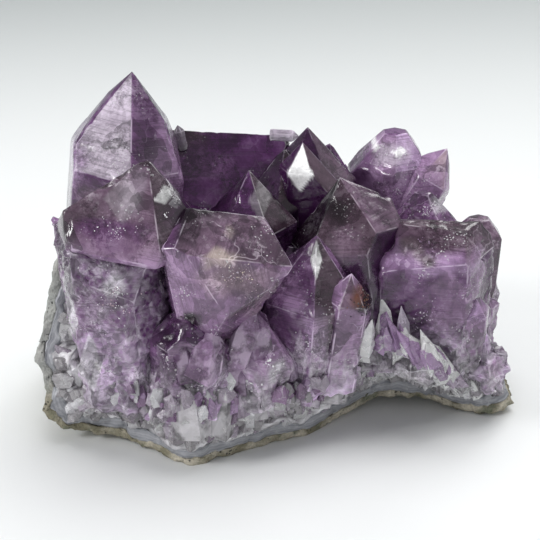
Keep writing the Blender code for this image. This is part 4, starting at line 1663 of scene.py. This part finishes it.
@dataclass
class Studio:
    """A pale sweep of paper, soft lamps and the camera."""

    elevation: float = 24.0
    distance: float = 0.5
    lens: float = 98.0
    aim: tuple[float, float, float] = (-0.00454, -0.0077, 0.0506)

    def sweep(self) -> bpy.types.Object:
        """The backdrop: a floor that curves up into a wall, as a profile carried along X.

        Returns:
            The backdrop.
        """
        turn = np.linspace(0, math.pi / 2, 24)
        back, bend, top = 900, 600.0, 3000.0
        floor = np.stack([np.linspace(-1500, back, 12), np.zeros(12)], 1)
        curve = np.stack([back + bend * np.sin(turn), bend * (1 - np.cos(turn))], 1)
        rise = np.array([[back + bend, top]])
        profile = np.concatenate([floor, curve[1:], rise])
        x = np.linspace(-2500, 2500, 9)
        points = np.stack(np.broadcast_arrays(x[None], profile[:, :1], profile[:, 1:]), axis=-1)
        skin = Skin()
        skin.add(points)
        places, faces, values = skin.weld()
        piece = make_piece("studio_sweep", places, faces, values)
        piece.data.materials.append(Backdrop("studio_paper").make())
        return piece

    def lamp(
        self, name: str, place: tuple[float, float, float], size: float, power: float,
        mirrored: bool = True,
    ) -> None:
        """A square soft lamp that faces the cluster.

        Args:
            name: the lamp's name.
            place: where it hangs, in metres.
            size: its side, in metres.
            power: watts.
            mirrored: whether polished faces show its reflection.
        """
        light = bpy.data.lights.new(name, "AREA")
        light.energy = power
        light.size = size
        lamp = bpy.data.objects.new(name, light)
        bpy.context.scene.collection.objects.link(lamp)
        lamp.visible_glossy = mirrored
        x, y, z = np.array([0, 0, 0.05]) - np.array(place)
        lamp.location = place
        lamp.rotation_euler = (math.atan2(math.hypot(x, y), -z), 0, math.atan2(y, x) - math.pi / 2)

    def air(self) -> None:
        """The light from all around: strong near the ground and weaker overhead."""
        world = bpy.data.worlds.new("studio_air")
        bpy.context.scene.world = world
        world.use_nodes = True
        nodes, links = world.node_tree.nodes, world.node_tree.links
        up = nodes.new("ShaderNodeSeparateXYZ")
        links.new(nodes.new("ShaderNodeTexCoord").outputs["Generated"], up.inputs[0])
        fade = nodes.new("ShaderNodeMapRange")
        links.new(up.outputs["Z"], fade.inputs["Value"])
        stops = {"From Min": 0.25, "From Max": 0.85, "To Min": 0.68, "To Max": 0.22}
        for key, value in stops.items():
            fade.inputs[key].default_value = value
        links.new(fade.outputs[0], nodes["Background"].inputs["Strength"])
        nodes["Background"].inputs["Color"].default_value = (0.97, 0.985, 1.0, 1)

    def build(self) -> None:
        """Set up the sweep, the air, the lamps and the camera."""
        self.sweep()
        self.air()
        self.lamp("top_lamp", (0.10, 0.15, 1.1), 0.9, 10.0, mirrored=False)
        self.lamp("left_lamp", (-0.9, -0.45, 0.7), 0.3, 5.5)
        self.lamp("back_lamp", (0.5, 0.9, 0.8), 0.5, 3.0)
        camera = bpy.data.objects.new("camera", bpy.data.cameras.new("camera"))
        camera.data.lens = self.lens
        camera.data.sensor_width = 36.0
        camera.data.clip_start = 0.01
        rise = math.radians(self.elevation)
        away = (0, -math.cos(rise) * self.distance, math.sin(rise) * self.distance)
        camera.location = np.array(self.aim) + away
        camera.rotation_euler = (math.pi / 2 - rise, 0, 0)
        bpy.context.scene.collection.objects.link(camera)
        bpy.context.scene.camera = camera
        bpy.context.scene.view_settings.view_transform = "Standard"


def main() -> None:
    """Build the wall, its teeth, the crystals and the studio."""
    logging.basicConfig(level=logging.INFO, format="%(name)s %(message)s")
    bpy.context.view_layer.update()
    wall = Wall()
    wall.build()
    Teeth(wall).build()
    CrystalCrowd().build()
    Grains("quartz_flakes", "milky_quartz", Quartz("quartz_flake_glass"), QUARTZ_FLAKES).build()
    Grains("dark_inclusions", "violet_amethyst", Quartz("inclusion_grain"), DARK_GRAINS, 61).build()
    Studio().build()


if __name__ == "__main__":
    main()
